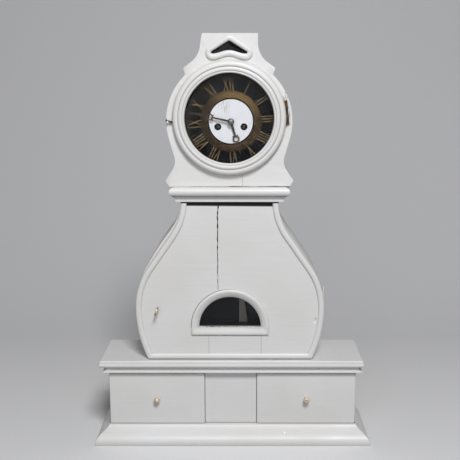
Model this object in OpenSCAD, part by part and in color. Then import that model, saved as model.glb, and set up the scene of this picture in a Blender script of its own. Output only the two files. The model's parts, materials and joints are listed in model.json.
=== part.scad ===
// Table clock: a round hood with a glazed dial door, a bellied waist with a door and a half-moon
// window, and a wide base with two drawers. Millimetres, +Z up, the front faces -Y. The origin
// is on the ground at the middle of the base.

/* [Base] */
// Width over the plinth moulding
base_w = 518.8; // [505:0.1:535]
// Depth from the front of the plinth to the back
base_d = 137; // [130:0.5:150]
// Height of the plinth moulding
plinth_h = 34.2; // [28:0.1:38]
// How far the plinth moulding flares out
plinth_flare = 24.1; // [18:0.1:28]
// Height of the drawer fronts
drawer_h = 100.5; // [90:0.5:104]
// Gap between the drawer fronts and the shelf moulding
drawer_top_gap = 4.1; // [2.5:0.1:8]
// Height of the moulding below the shelf
under_h = 10.4; // [9:0.1:16]
// Thickness of the shelf
shelf_t = 13.8; // [12:0.1:18]
// How far the shelf stands out from the drawer fronts
shelf_out = 12; // [9:0.1:16]
// Middle of the shelf, measured from the base's middle
shelf_x = -1.7; // [-4:0.1:4]
// How far the moulding below the shelf stands back from the shelf's edge
under_in = 3.2; // [2:0.1:6]
// Thickness of the base's boards
board_t = 12; // [9:0.5:14]
// Thickness of the base's back
back_t = 8; // [5:0.5:10]
// Width of the fixed panel between the drawers
panel_w = 98.4; // [80:0.1:120]
// Middle of the fixed panel, left of the base's middle
panel_x = -3.45; // [-10:0.05:10]
// How far the fixed panel is set back from the drawer fronts
panel_set_back = 4.5; // [2:0.1:6]
// Thickness of a drawer front
front_t = 11.7; // [9:0.1:13]
// Depth of a drawer behind its front
drawer_d = 84; // [70:1:88]
// Thickness of a drawer's sides
drawer_wall = 8; // [5:0.5:10]
// Diameter of a drawer knob
knob_d = 11.4; // [9:0.1:16]
// Length of a drawer knob
knob_l = 14; // [10:0.5:18]

/* [Waist] */
// The upper case's middle, measured from the base's middle
upper_x = -4.5; // [-8:0.1:8]
// How far the upper case stands back from the plinth's front
upper_back = 21.1; // [18:0.1:26]
// Height of the waist
waist_h = 300.2; // [290:0.5:330]
// Greatest width of the waist
waist_w = 350.8; // [340:0.5:362]
// Height of the widest place above the shelf
belly_up = 98.5; // [92:0.5:104]
// Radius of the waist's side below its widest place
lower_r = 232; // [190:1:250]
// Radius of the waist's side above its widest place
belly_r = 138; // [128:1:144]
// Radius of the hollow shoulder
shoulder_r = 112; // [100:1:116]
// Width of the waist at its top
waist_top_w = 177.4; // [172:0.5:184]
// Thickness of the waist's side walls
waist_wall = 10; // [7:0.5:12]
// How far the case stands out beside the door at the left shoulder
left_swell = 6; // [0:0.5:8]
// How far the case stands out beside the door at the right shoulder
right_swell = 2; // [0:0.5:8]
// Top of the floor board inside the waist, above the shelf
inner_floor_up = 43.5; // [38:0.5:50]
// Thickness of the door panel
door_t = 10.2; // [8:0.1:12]
// Width of the raised bead round the door
bead_w = 11; // [8:0.1:13]
// How far the bead stands proud of the door panel
bead_h = 4; // [2.5:0.1:5]
// Gap round the door
door_gap = 0.5; // [0.3:0.1:1]
// Radius of the window's half-round opening
window_r = 57.5; // [48:0.1:62]
// Height of the window's sill above the shelf
window_up = 63.1; // [60:0.1:72]
// Width of the window's frame
window_frame_w = 14.6; // [11:0.1:17]
// Height of the window's sill
window_sill_h = 15.2; // [12:0.1:20]

/* [Neck and hood] */
// Height of the neck moulding
neck_h = 26.8; // [25:0.1:30]
// How far the neck moulding reaches past the hood's foot
neck_over = 0.65; // [0.2:0.05:3]
// Width of the hood's round front outside the dial door
hood_margin = 11.4; // [10:0.1:16]
// Height of the hood's circle above the neck
hood_lift = 5; // [4:0.5:10]
// Height of the crest above the hood's circle
crest_rise = 40.5; // [36:0.5:46]
// Width of the crest's flat top
crest_w = 101; // [98:0.5:108]
// How far the crest's left corner leans in
crest_lean = 3; // [0:0.5:5]
// Thickness of the hood's front board
hood_front_t = 12; // [10:0.5:13]
// Thickness of the hood's side walls
hood_wall = 6; // [4:0.5:8]
// Thickness of the back board
case_back_t = 8; // [6:0.5:10]

/* [Dial door] */
// Outer radius of the bezel
bezel_r = 100.6; // [97:0.1:104]
// Width of the bezel's ring, from its outer edge to its opening
bezel_w = 21.6; // [20.5:0.1:24]
// How far the bezel stands out
bezel_h = 13; // [12:0.1:14.5]
// Middle of the bezel above the hood's centre
bezel_dz = 5.5; // [3:0.1:6]
// Thickness of the dial glass
glass_t = 2; // [1.5:0.1:2.5]

/* [Dial and hands] */
// Middle of the dial, right of the upper case's middle
dial_dx = 2.7; // [0:0.1:4]
// Middle of the dial, below the hood's centre
dial_dz = -0.5; // [-3:0.1:2]
// Radius of the white centre
white_r = 39.2; // [36:0.1:41]
// Inner radius of the inner brass ring
ring_in_r = 42; // [41.5:0.1:45]
// Outer radius of the inner brass ring
ring_out_r = 54.3; // [48:0.1:56]
// Inner radius of the outer brass ring
rim_in_r = 76.5; // [75:0.1:78.5]
// Turn of the numerals against the case, degrees counter-clockwise
dial_turn = 4; // [-6:0.5:6]
// Distance from the centre to the minute hand's tip
minute_l = 75; // [66:0.5:76]
// Distance from the centre to the hour hand's tip
hour_l = 60; // [50:0.5:64]
// Minute hand at rest, degrees clockwise from twelve
minute_at = 282.4; // [0:0.1:360]
// Hour hand at rest, degrees clockwise from twelve
hour_at = 163.3; // [0:0.1:360]
// Half the distance between the winding holes
barrel_x = 23.4; // [23.2:0.1:24.5]
// Winding holes below the dial's middle
barrel_z = -9.5; // [-11:0.1:-9]

/* [Movement] */
// Teeth of a great wheel
great_teeth = 72; // [72:1:74]
// Leaves of the pinions driven by the great wheels
great_leaves = 8; // [8:1:9]
// Length of the pendulum from its pivot to the bob's middle
pendulum_l = 248.5; // [235:0.5:255]
// Radius of the pendulum bob
bob_r = 20; // [15:0.5:23]
// Radius of the gong's outer turn
gong_r = 40; // [34:0.5:42]

/* [Hidden] */
$fn = 64;

paint = [0.84, 0.84, 0.82];
bare_wood = [0.62, 0.47, 0.32];
brass = [0.62, 0.48, 0.27];
steel = [0.55, 0.55, 0.57];
bronze = [0.24, 0.17, 0.11];
black = [0.1, 0.1, 0.1];
smoked = [0.12, 0.13, 0.14, 0.6];
clear = [0.8, 0.85, 0.86, 0.25];

// Running clearance of a pivot, gap of a glued joint, and how far cuts run past a face
fit = 0.06;
joint_gap = 0.1;
past = 1;

// Planes of the base
front_y = -base_d / 2;
back_y = base_d / 2;
face_y = front_y + plinth_flare;
case_half = base_w / 2 - plinth_flare;
side_half = case_half - 0.8;
carcass_y = face_y + 12;
drawer_z = plinth_h + 0.5;
drawer_top = drawer_z + drawer_h;
under_z = drawer_top + drawer_top_gap;
shelf_z = under_z + under_h;
shelf_top = shelf_z + shelf_t;
shelf_half = case_half + shelf_out + 0.2;
shelf_front = face_y - shelf_out;
floor_top = plinth_h - 0.2;
panel_l = panel_x - panel_w / 2;
panel_r = panel_x + panel_w / 2;
back_in = back_y - back_t;
rail_h = 12;

// Drawers: outer edges of the fronts, and of the boxes behind them
front_edge = case_half - 2;
box_gap = 0.4;
box_h = 84;

// Outline of the waist, right half: two bulging arcs, a straight tangent and a hollow arc
waist_half = waist_w / 2;
inner_floor_z = shelf_top + inner_floor_up;
belly_z = shelf_top + belly_up;
waist_top = shelf_top + waist_h;
shoulder_x = waist_top_w / 2 + shoulder_r;
shoulder_z = waist_top + 1.3;
waist_tan = tangent_angle(shoulder_x - waist_half + belly_r, shoulder_z - belly_z,
                          belly_r + shoulder_r);
upper_y = front_y + upper_back;
panel_y = upper_y + bead_h;
door_back = panel_y + door_t;
wall_y = door_back + 0.4;
case_back_in = back_y - case_back_t;
door_z = shelf_top + door_gap;
door_top = waist_top - door_gap;

// Neck moulding: how far it stands out, and its thickness
neck_out = 10.55;
neck_wall = 22;

// Outline of the hood, right half
hood_r = bezel_r + hood_margin;
foot_half = hood_r - 4;
neck_top = waist_top + neck_h;
neck_line = foot_half + neck_over - neck_out;
neck_in = neck_line - neck_wall - joint_gap;
hood_z = neck_top + hood_r + hood_lift;
hood_top = hood_z + hood_r + crest_rise;
flare_r = 27;
flare_x = hood_r + 12.4;
flare_z = hood_z - 70.5;
flare_fall = 57.6;
foot_tip = [foot_half + 7.2, neck_top + 10.8];
hood_tan = tangent_angle(flare_x, flare_z - hood_z, hood_r + flare_r);
notch_at = 46.3;
crest_r = 40;
crest_x = crest_w / 2 + crest_r;
crest_z = hood_top - 17;
crest_turn = 53;
ear_x = hood_r * cos(notch_at) + 3;
ear_z = hood_z + hood_r * sin(notch_at) + 12.5;
hood_back_y = upper_y + hood_front_t;

// Window in the waist door
window_z = shelf_top + window_up;
window_out = window_r + window_frame_w;
glazing_gap = 0.2;

// Hinge of the waist door
hinge_l = 75;
hinge_z = belly_z - 35;
hinge_r = 2.2;
hinge_pin_r = 1.1;
hinge_x = upper_x + waist_half - 2.1;
hinge_y = (door_back + wall_y) / 2;
leaf_t = 1.2;
leaf_w = 7;

// Lock of the waist door
lock_x = -140.2;
lock_z = belly_z - 2;
lock_w = 38;
lock_h = 36;
lock_t = 12;
lock_wall = 1.5;
lock_left = upper_x - waist_side_x(lock_z, waist_wall) + 2.5;
bolt_h = 10;
bolt_t = 4;
bolt_travel = 6;
bolt_y = door_back + lock_wall + 0.2;
key_r = 1.5;

// Dial door and its hinge
bezel_z = hood_z + bezel_dz;
bezel_y = upper_y - 0.3;
bezel_open_r = bezel_r - bezel_w;
glass_r = bezel_open_r + 5;
glass_y = bezel_y - 5.5;
rim_w = 5.5;
dial_hole_r = rim_in_r + rim_w + 4;
dial_hinge_out = bezel_r + 2.5;
dial_hinge_at = 6;
dial_hinge_l = 42;
dial_hinge_r = 1.9;
dial_hinge_pin_r = 0.9;
dial_hinge_leaf = 4.2;
dial_hinge_y = upper_y - 3.2;

// Catch at the left of the bezel: an eye on the bezel, a hook in the eye, a nail on the hood
catch_z = hood_z - 0.7;
eye_x = -bezel_r - 2.3;
eye_y = upper_y - 3.6;
eye_r = 2.0;
eye_hole_r = 0.96;
nail_x = eye_x - 6.1;
nail_r = 0.8;
hook_t = 1;
hook_lift = 14;
hook_back = eye_y - 1.3;
hook_front = hook_back - hook_t;

// Dial
dial_x = upper_x + dial_dx;
dial_z = hood_z + dial_dz;
dial_t = 1.2;
plate_r = bezel_r - 4.6;
fret_t = 0.8;
winding_r = 5.2;
pipe_hole_r = 4.2;

// Planes of the movement, from the front to the back
plate_t = 1.5;
front_plate_y = hood_back_y + 14.9;
back_plate_y = front_plate_y + 35;
plate_half = 46;
plate_low = -36;
plate_high = 58;
inside_y = front_plate_y + plate_t;

// Gearing: modules come from the distances between the arbors
great_d = norm([barrel_x, barrel_z]);
great_m = 2 * great_d / (great_teeth + great_leaves);
centre_teeth = 72;
third_leaves = 8;
centre_m = 0.45;
third_z = centre_m * (centre_teeth + third_leaves) / 2;
third_teeth = 70;
escape_leaves = 7;
third_m = 0.4;
escape_z = third_z + third_m * (third_teeth + escape_leaves) / 2;
escape_teeth = 40;
escape_r = 13;
pallet_half = 38.25;
anchor_z = escape_z + escape_r / cos(pallet_half);
pallet_clear = 0.95;
cannon_teeth = 15;
minute_teeth = 45;
minute_leaves = 12;
hour_teeth = 48;
motion_m = 0.5;
motion_z = -motion_m * (cannon_teeth + minute_teeth) / 2;
second_at = 107.5;
second_x = -barrel_x + great_d * cos(second_at);
second_z = barrel_z + great_d * sin(second_at);
second_teeth = 60;
fly_leaves = 8;
second_m = 0.45;
fly_at = 71;
fly_x = second_x + second_m * (second_teeth + fly_leaves) / 2 * cos(fly_at);
fly_z = second_z + second_m * (second_teeth + fly_leaves) / 2 * sin(fly_at);
hammer_x = -42;
hammer_z = 38;
arbor_r = 1.25;
pivot_r = 0.6;
pallet_y = inside_y + 25;
crutch_y = back_plate_y + plate_t + 1.5;
rod_y = back_plate_y + plate_t + 9;
rod_r = 1.4;

// Gong and hammer
gong_x = dial_x;
gong_z = hood_z - 60.5;
gong_y = rod_y + 22;
gong_wire = 1.5;
hammer_head_x = gong_x - gong_r - gong_wire - 10.2;

function tangent_angle(dx, dz, reach) = atan2(dz, dx) + (dz < 0 ? 1 : -1) * acos(reach / norm([dx, dz]));

function arc(x, z, r, from, to, steps) =
    [for (i = [0:steps]) [x + r * cos(from + (to - from) * i / steps),
                          z + r * sin(from + (to - from) * i / steps)]];

function tail(list) = [for (i = [1:len(list) - 1]) list[i]];

function flip(list) = [for (i = [len(list) - 1:-1:0]) [-list[i][0], list[i][1]]];

// Half-width of the waist at one height, set in by t
function waist_side_x(z, t) =
    z < belly_z
    ? waist_half - lower_r + sqrt(pow(lower_r - t, 2) - pow(z - belly_z, 2))
    : waist_half - belly_r + sqrt(pow(belly_r - t, 2) - pow(z - belly_z, 2));

// Right edge of the waist from z0 up to z1, set in by t
function waist_edge(t, z0, z1) = concat(
    arc(waist_half - lower_r, belly_z, lower_r - t, asin((z0 - belly_z) / (lower_r - t)), 0, 14),
    tail(arc(waist_half - belly_r, belly_z, belly_r - t, 0, waist_tan, 14)),
    arc(shoulder_x, shoulder_z, shoulder_r + t, 180 + waist_tan,
        180 + asin((shoulder_z - z1) / (shoulder_r + t)), 14));

// The same edge for the case, whose shoulder swells out by w beside the door
function waist_case_edge(t, w) = let (edge = waist_edge(t, shelf_top, waist_top), low = belly_z + 38)
    [for (i = [0:len(edge) - 1]) let (b = edge[i], a = edge[max(i - 1, 0)], n = ceil(norm(b - a) / 12))
        for (k = [1:max(n, 1)]) let (p = a + (b - a) * k / max(n, 1), up = max(p[1] - low, 0))
            p + [w * pow(sin(180 * up / (waist_top - low)), 2), 0]];

// Right edge of the hood from the neck to the top of the crest, set in by t
function hood_foot(t) = t == 0
    ? [[foot_half, neck_top], foot_tip - [0.9, 0.9], foot_tip + [-0.1, 0.6]]
    : [[foot_half - t, neck_top],
       [foot_half - t, flare_z - (flare_r + t) * sin(90 - flare_fall)
                       - (foot_half - t - flare_x + (flare_r + t) * sin(flare_fall)) * tan(flare_fall)]];

function hood_ear(t) = t == 0
    ? [[ear_x - 2.5, ear_z - 9.4], [ear_x + 0.1, ear_z - 1.5], [ear_x - 0.4, ear_z + 0.4]]
    : [[ear_x - 4.5 - t, ear_z + 3.5 - t / 2]];

function hood_edge(t, lean) = concat(
    hood_foot(t),
    arc(flare_x, flare_z, flare_r + t, 270 - flare_fall, 180 + hood_tan, 8),
    arc(0, hood_z, hood_r - t, hood_tan, notch_at, 24),
    hood_ear(t),
    arc(crest_x, crest_z, crest_r + t, 180 + crest_turn, 180, 10),
    [[crest_w / 2 - t - lean, hood_top - (t == 0 ? 1.2 : 0)]],
    t == 0 ? [[crest_w / 2 - 1.2 - lean, hood_top]] : []);

module upper() { translate([upper_x, 0, 0]) children(); }

module movement() { translate([dial_x, 0, dial_z]) children(); }

// A flat shape drawn in X and Z, given its thickness from y0 back to y1
module board(y0, y1) { translate([0, y1, 0]) rotate([90, 0, 0]) linear_extrude(y1 - y0) children(); }

// A round bar along Y
module spindle(x, z, y0, y1, r) {
    translate([x, y1, z]) rotate([90, 0, 0]) cylinder(h = y1 - y0, r = r);
}

// A block from one corner to the other
module block(low, high) { translate(low) cube(high - low); }

// A bent wall between its outer and its inner edge
module wall(outer, inner) { polygon(concat(outer, [for (p = flip(inner)) [-p[0], p[1]]])); }

module outline(right, left) { polygon(concat(right, flip(left))); }

// Moulding round the front and both sides, mitred at the front corners. The children are its
// profile: x outwards from the line, y up.
module three_sided(half, line_y, z0, z1, reach, inset) {
    far = reach + past;
    g = joint_gap / 2;
    intersection() {
        translate([0, line_y, 0]) mirror([0, 1, 0]) rotate([90, 0, 90])
            translate([0, 0, -half - far]) linear_extrude(2 * (half + far)) children();
        translate([0, 0, z0]) linear_extrude(z1 - z0)
            polygon([[-half - far + g, line_y - far], [half + far - g, line_y - far],
                     [half - inset - g, line_y + inset], [-half + inset + g, line_y + inset]]);
    }
    for (s = [0, 1]) mirror([s, 0, 0]) intersection() {
        translate([half, back_y, 0]) rotate([90, 0, 0])
            linear_extrude(back_y - line_y + far) children();
        translate([0, 0, z0]) linear_extrude(z1 - z0)
            polygon([[half + far + g, line_y - far], [half + far + g, back_y],
                     [half - inset + g, back_y], [half - inset + g, line_y + inset]]);
    }
}

// Plinth: a long soft wave from the ledge under the drawers to the ground
module plinth_profile(inset) {
    steps = 20;
    wave = [for (i = [0:steps]) let (z = plinth_h * i / steps)
        [plinth_flare * (1 + cos(180 * pow(z / plinth_h, 1.5))) / 2, z]];
    polygon(concat([[-inset, 0]], wave, [[-inset, plinth_h]]));
}

module plinth_mouldings() {
    color(paint) three_sided(case_half, face_y, 0, plinth_h, plinth_flare, 12)
        plinth_profile(0.75);
    color(paint) block([-case_half + 2, face_y, 2], [case_half - 2, carcass_y, plinth_h - 0.5]);
}

// Moulding under the shelf: a narrow edge below and a hollow that runs back under the shelf
module shelf_mouldings() {
    out = shelf_out - under_in;
    hollow = min(out - 0.8, under_h - 3);
    color(paint) three_sided(case_half, face_y, under_z, shelf_z, out, 12)
        polygon(concat([[-0.75, under_z], [out - 0.7, under_z], [out, under_z + 0.7]],
                       arc(out, under_z + 2.2 + hollow, hollow, 270, 180, 10),
                       [[out - hollow, shelf_z], [-0.75, shelf_z]]));
    color(paint) block([-case_half + 2, face_y, under_z + 0.5], [case_half - 2, carcass_y, shelf_z]);
}

// Section of the shelf's moulded edge: a low round, a thin groove and a slanting band on top
module nose(edge, far) {
    r = (shelf_t - 4.8) / 2;
    polygon(concat(arc(edge + r, shelf_z + r, r, 270, 165, 12),
                   [[edge + 1.1, shelf_top - 4.4], [edge + 0.7, shelf_top - 3.6],
                    [edge + 1.9, shelf_top - 0.3], [edge + 2.4, shelf_top], [far, shelf_top],
                    [far, shelf_z]]));
}

module shelf_board() {
    color(paint) translate([shelf_x, 0, 0]) intersection() {
        rotate([90, 0, 90]) translate([0, 0, -shelf_half - past])
            linear_extrude(2 * (shelf_half + past)) nose(shelf_front, back_y);
        translate([0, back_y, 0]) rotate([90, 0, 0]) linear_extrude(base_d) union() {
            nose(-shelf_half, past);
            mirror([1, 0]) nose(-shelf_half, past);
        }
    }
}

module base_floor() {
    color(bare_wood) block([-side_half + board_t, carcass_y, floor_top - board_t],
                           [side_half - board_t, back_in, floor_top]);
}

module base_sides() {
    color(paint) for (s = [0, 1]) mirror([s, 0, 0])
        block([side_half - board_t, carcass_y, 0], [side_half, back_in, shelf_z]);
}

module base_back() {
    color(bare_wood) block([-side_half, back_in, 0], [side_half, back_y, shelf_z]);
}

// Two dividers, a front rail over the drawers and the fixed panel between them
module drawer_frame() {
    half = board_t / 2;
    rail_z = under_z - rail_h + 2;
    color(bare_wood) for (x = [panel_l, panel_r])
        block([x - half, carcass_y, floor_top], [x + half, back_in, rail_z - joint_gap]);
    color(paint) block([-side_half + board_t, carcass_y, rail_z],
                       [side_half - board_t, carcass_y + board_t, shelf_z]);
    color(paint) block([panel_l + 0.5, face_y + panel_set_back, drawer_z],
                       [panel_r - 0.5, carcass_y - joint_gap, drawer_top]);
}

// One drawer between x0 and x1: its overlay front, its box and its knob
module drawer_front(x0, x1) {
    color(paint) difference() {
        block([x0, face_y, drawer_z], [x1, face_y + front_t, drawer_top]);
        spindle((x0 + x1) / 2, (drawer_z + drawer_top) / 2, face_y - past, face_y + 8, 2.6);
    }
}

module drawer_box(x0, x1) {
    z0 = floor_top + 0.3;
    y0 = face_y + front_t;
    color(bare_wood) difference() {
        block([x0, y0, z0], [x1, y0 + drawer_d, z0 + box_h]);
        block([x0 + drawer_wall, y0 + drawer_wall, z0 + 5],
              [x1 - drawer_wall, y0 + drawer_d - drawer_wall, z0 + box_h + past]);
    }
}

module drawer_knob(x) {
    z = (drawer_z + drawer_top) / 2;
    r = knob_d / 2;
    color([0.86, 0.82, 0.7]) translate([x, face_y, z]) rotate([90, 0, 0])
        rotate_extrude() polygon(concat(
            [[0, -7.5], [2.5, -7.5], [2.5, 0], [r * 0.7, 0], [r * 0.66, 1.2], [r * 0.5, 2.4],
             [r * 0.48, knob_l - 2 * r * 0.8]],
            arc(0, knob_l - r * 0.95, r, -35, 66, 10),
            [[1.5, knob_l - 0.4], [1.2, knob_l], [0, knob_l]]));
}

module left_drawer_front() { drawer_front(-front_edge, panel_l - 0.3); }
module left_drawer_box() { drawer_box(-side_half + board_t + box_gap, panel_l - board_t / 2 - box_gap); }
module left_drawer_knob() { drawer_knob((panel_l - 0.3 - front_edge) / 2); }
module right_drawer_front() { drawer_front(panel_r + 0.3, front_edge); }
module right_drawer_box() { drawer_box(panel_r + board_t / 2 + box_gap, side_half - board_t - box_gap); }
module right_drawer_knob() { drawer_knob((panel_r + 0.3 + front_edge) / 2); }

// Two curved side walls, with a rebate for the hinge at the right and a slot for the bolt
module waist_sides() {
    color(paint) difference() {
        upper() for (s = [0, 1]) mirror([s, 0, 0]) board(wall_y, case_back_in)
            let (w = s == 1 ? left_swell : right_swell)
                wall(waist_case_edge(0, w), waist_case_edge(waist_wall, w));
        block([hinge_x - 3.2, wall_y - past, hinge_z - 0.5],
              [hinge_x + 9, hinge_y + hinge_r + 1.2, hinge_z + hinge_l + 0.5]);
        block([hinge_x - leaf_w - 2.2, wall_y - past, hinge_z - 0.2],
              [hinge_x, wall_y + leaf_t, hinge_z + hinge_l + 0.2]);
        block([lock_left - bolt_travel - 0.6, bolt_y - 0.5, lock_z - bolt_h / 2 - 0.5],
              [lock_left, bolt_y + bolt_t + 0.5, lock_z + bolt_h / 2 + 0.5]);
    }
}

// One back board for the waist, the neck and the hood, with a tapered batten inside the waist
module case_back() {
    color(bare_wood) upper() {
        board(case_back_in, back_y) union() {
            outline(waist_case_edge(0, right_swell), waist_case_edge(0, left_swell));
            translate([-neck_in, waist_top - past]) square([2 * neck_in, neck_h + 2 * past]);
            outline(hood_edge(0, 0), hood_edge(0, crest_lean));
        }
        board(case_back_in - 9, case_back_in) polygon([[16.7, inner_floor_z], [33.1, inner_floor_z],
            [21.2, inner_floor_z + 90], [16.7, inner_floor_z + 90]]);
    }
}

// Barrels of a butt hinge along Z: even ones for one leaf, odd ones for the other
module knuckles(parity, count, length, r, hole) {
    step = length / count;
    for (i = [0:count - 1]) if (i % 2 == parity) translate([0, 0, i * step + 0.1])
        difference() {
            cylinder(h = step - 0.2, r = r);
            if (hole > 0) translate([0, 0, -past]) cylinder(h = step + 2 * past, r = hole);
        }
}

module waist_hinge_case_leaf() {
    step = hinge_l / 3;
    color(paint) {
        translate([hinge_x, hinge_y, hinge_z])
            knuckles(0, 3, hinge_l, hinge_r, hinge_pin_r + fit);
        difference() {
            block([hinge_x - leaf_w - 2, wall_y, hinge_z],
                  [hinge_x - 0.5, wall_y + leaf_t, hinge_z + hinge_l]);
            translate([hinge_x, hinge_y, hinge_z - past])
                cylinder(h = hinge_l + 2 * past, r = hinge_pin_r + fit);
            block([hinge_x - hinge_r - 0.4, wall_y - past, hinge_z + step - 0.1],
                  [hinge_x + 1, wall_y + leaf_t + past, hinge_z + 2 * step + 0.1]);
        }
    }
}

module waist_hinge_door_leaf() {
    step = hinge_l / 3;
    color(paint) {
        translate([hinge_x, hinge_y, hinge_z]) {
            knuckles(1, 3, hinge_l, hinge_r, 0);
            translate([0, 0, 0.3]) cylinder(h = hinge_l - 0.6, r = hinge_pin_r);
        }
        difference() {
            block([hinge_x - leaf_w - 2, door_back - leaf_t, hinge_z],
                  [hinge_x, door_back, hinge_z + hinge_l]);
            for (z = [hinge_z - past, hinge_z + 2 * step - 0.1])
                block([hinge_x - hinge_r - 0.4, door_back - leaf_t - past, z],
                      [hinge_x + 1, door_back + past, z + step + past + 0.1]);
        }
    }
}

// Shape of the window: a half circle standing on a flat sill
module half_moon(r, low) {
    polygon(concat([[-r, -low], [r, -low]], arc(0, 0, r, 0, 180, 40)));
}

module waist_door_panel() {
    color(paint) difference() {
        upper() board(panel_y, door_back)
            outline(waist_edge(0, door_z, door_top), waist_edge(0, door_z, door_top));
        upper() translate([0, 0, window_z]) board(panel_y - past, door_back + past)
            half_moon(window_r + 2 + glazing_gap, 0.6);
        block([hinge_x - hinge_r - 0.5, hinge_y - hinge_r - 0.5, hinge_z - 0.3],
              [hinge_x + 9, door_back + past, hinge_z + hinge_l + 0.3]);
        block([hinge_x - leaf_w - 2.2, door_back - leaf_t, hinge_z - 0.2],
              [hinge_x, door_back + past, hinge_z + hinge_l + 0.2]);
        spindle(lock_x, lock_z, panel_y - past, door_back + past, key_r + 0.5);
    }
}

// A bead between an outer and an inner edge: a half-round crown, closed by a flat back
module bead(outer, inner) {
    m = 11;
    last = len(outer) - 1;
    points = [for (i = [0:last]) for (k = [0:m - 1])
        let (p = outer[i] + (inner[i] - outer[i]) * (1 - cos(18 * k)) / 2)
            [p[0], panel_y - bead_h * pow(sin(18 * k), 0.8), p[1]]];
    faces = concat([[for (k = [m - 1:-1:0]) k]], [[for (k = [0:m - 1]) last * m + k]],
        [for (i = [0:last - 1]) for (k = [0:m - 1]) let (j = (k + 1) % m, n = i + 1)
            each [[i * m + k, i * m + j, n * m + j], [i * m + k, n * m + j, n * m + k]]]);
    polyhedron(points, faces);
}

// Two curved side beads and the straight bottom bead, mitred at the bottom corners
module waist_door_beads() {
    outer = waist_edge(0, door_z, door_top);
    inner = waist_edge(bead_w, door_z + bead_w, door_top);
    low = outer[0] - [joint_gap, 0];
    high = inner[0] - [joint_gap, 0];
    color(paint) upper() {
        for (s = [0, 1]) mirror([s, 0, 0]) bead(outer, inner);
        bead([[-low[0], low[1]], low], [[-high[0], high[1]], high]);
    }
}

// Frame of the window: a rounded outer edge and a long bevel down to the glass. The same
// section runs round the arch, down the short sides and along the sill, mitred below.
module frame_section(r0, w) {
    polygon([[r0, -4.2], [r0 + 1.9, -4.2], [r0 + 1.9, 0.02], [r0 + w, 0.02], [r0 + w, 1.6],
             [r0 + w - 0.5, 2.6], [r0 + w - 1.6, 3.4], [r0 + w - 3.4, 4], [r0 + w - 5, 4.2],
             [r0 + w - 6.5, 3.9], [r0 + 2.5, 0.4], [r0 + 0.6, -0.8], [r0, -1.6]]);
}

module window_frame() {
    sill = window_sill_h;
    color(paint) upper() difference() {
        translate([0, panel_y, window_z]) rotate([90, 0, 0]) union() {
            rotate_extrude(angle = 180, $fn = 180) frame_section(window_r, window_frame_w);
            for (s = [0, 1]) mirror([s, 0, 0]) intersection() {
                rotate([90, 0, 0]) linear_extrude(sill)
                    frame_section(window_r, window_frame_w);
                translate([0, 0, -5]) linear_extrude(12)
                    polygon([[window_r - past, past], [window_out + past, past],
                             [window_out + past, -sill], [window_out, -sill], [window_r, 0]]);
            }
            intersection() {
                rotate([90, 0, -90]) translate([0, 0, -window_out]) linear_extrude(2 * window_out)
                    frame_section(0, sill);
                translate([0, 0, -5]) linear_extrude(12)
                    polygon([[-window_out, -sill], [window_out, -sill], [window_r, 0], [-window_r, 0]]);
            }
        }
        translate([0, 0, window_z]) board(panel_y - 0.02, door_back)
            polygon([[-window_out - past, -sill - past], [window_out + past, -sill - past],
                     [window_out + past, -0.4], [-window_out - past, -0.4]]);
    }
}

module window_glass() {
    color(smoked) upper() translate([0, 0, window_z])
        board(panel_y + 4.4, panel_y + 6.4) half_moon(window_r + 2, 0.4);
}

// Lock: a case on the back of the door, with the bolt leaving at the left
module door_lock() {
    color(steel) difference() {
        block([lock_left, door_back, lock_z - lock_h / 2],
              [lock_left + lock_w, door_back + lock_t, lock_z + lock_h / 2]);
        block([lock_left + lock_wall, door_back + lock_wall, lock_z - lock_h / 2 + lock_wall],
              [lock_left + lock_w - lock_wall, door_back + lock_t - lock_wall,
               lock_z + lock_h / 2 - lock_wall]);
        block([lock_left - past, door_back + lock_wall, lock_z - bolt_h / 2 - 0.2],
              [lock_left + lock_wall + past, door_back + lock_wall + bolt_t + 0.4,
               lock_z + bolt_h / 2 + 0.2]);
        spindle(lock_x, lock_z, door_back - past, door_back + lock_wall + past, key_r + fit);
    }
}

module lock_bolt() {
    color(brass) block([lock_left + 0.4, bolt_y, lock_z - bolt_h / 2],
                       [lock_x - key_r - 2.4, bolt_y + bolt_t, lock_z + bolt_h / 2]);
}

// Key: a bow seen nearly edge on, a shank through the door and a bit inside the lock
module door_key() {
    bow_y = panel_y - 13;
    color(brass) {
        spindle(lock_x, lock_z, bow_y + 1, door_back + lock_t - lock_wall - 0.3, key_r);
        spindle(lock_x, lock_z, panel_y - 6.5, panel_y - 4.5, key_r + 1);
        block([lock_x - 0.8, door_back + lock_wall + bolt_t + 0.8, lock_z],
              [lock_x + 0.8, door_back + lock_t - lock_wall - 0.3, lock_z + 6]);
        translate([lock_x, bow_y, lock_z]) rotate([0, 20, 0]) difference() {
            rotate([0, 90, 0]) translate([0, 0, -1.4]) cylinder(h = 2.8, r = 9);
            for (z = [-4.4, 4.4]) translate([-past - 1.4, 1, z]) rotate([0, 90, 0])
                cylinder(h = 2.8 + 2 * past, r = 2.6);
            block([-3, 4, -12], [3, 10, 12]);
        }
    }
}

// Neck moulding: a fillet, a cove, a groove and a big round
module neck_moulding() {
    round_r = 8.3;
    cove_r = 6.8;
    inner = joint_gap - neck_wall;
    color(paint) three_sided(neck_line, upper_y - 2.45, waist_top, neck_top, neck_out, neck_wall)
        polygon(concat([[inner, waist_top], [0, waist_top]],
                       arc(cove_r, waist_top + 3.2, cove_r, 180, 104, 8),
                       [[3.2, neck_top - 2 * round_r]],
                       arc(neck_out - round_r, neck_top - round_r, round_r, -90, 90, 16),
                       [[inner, neck_top]]));
}

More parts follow.
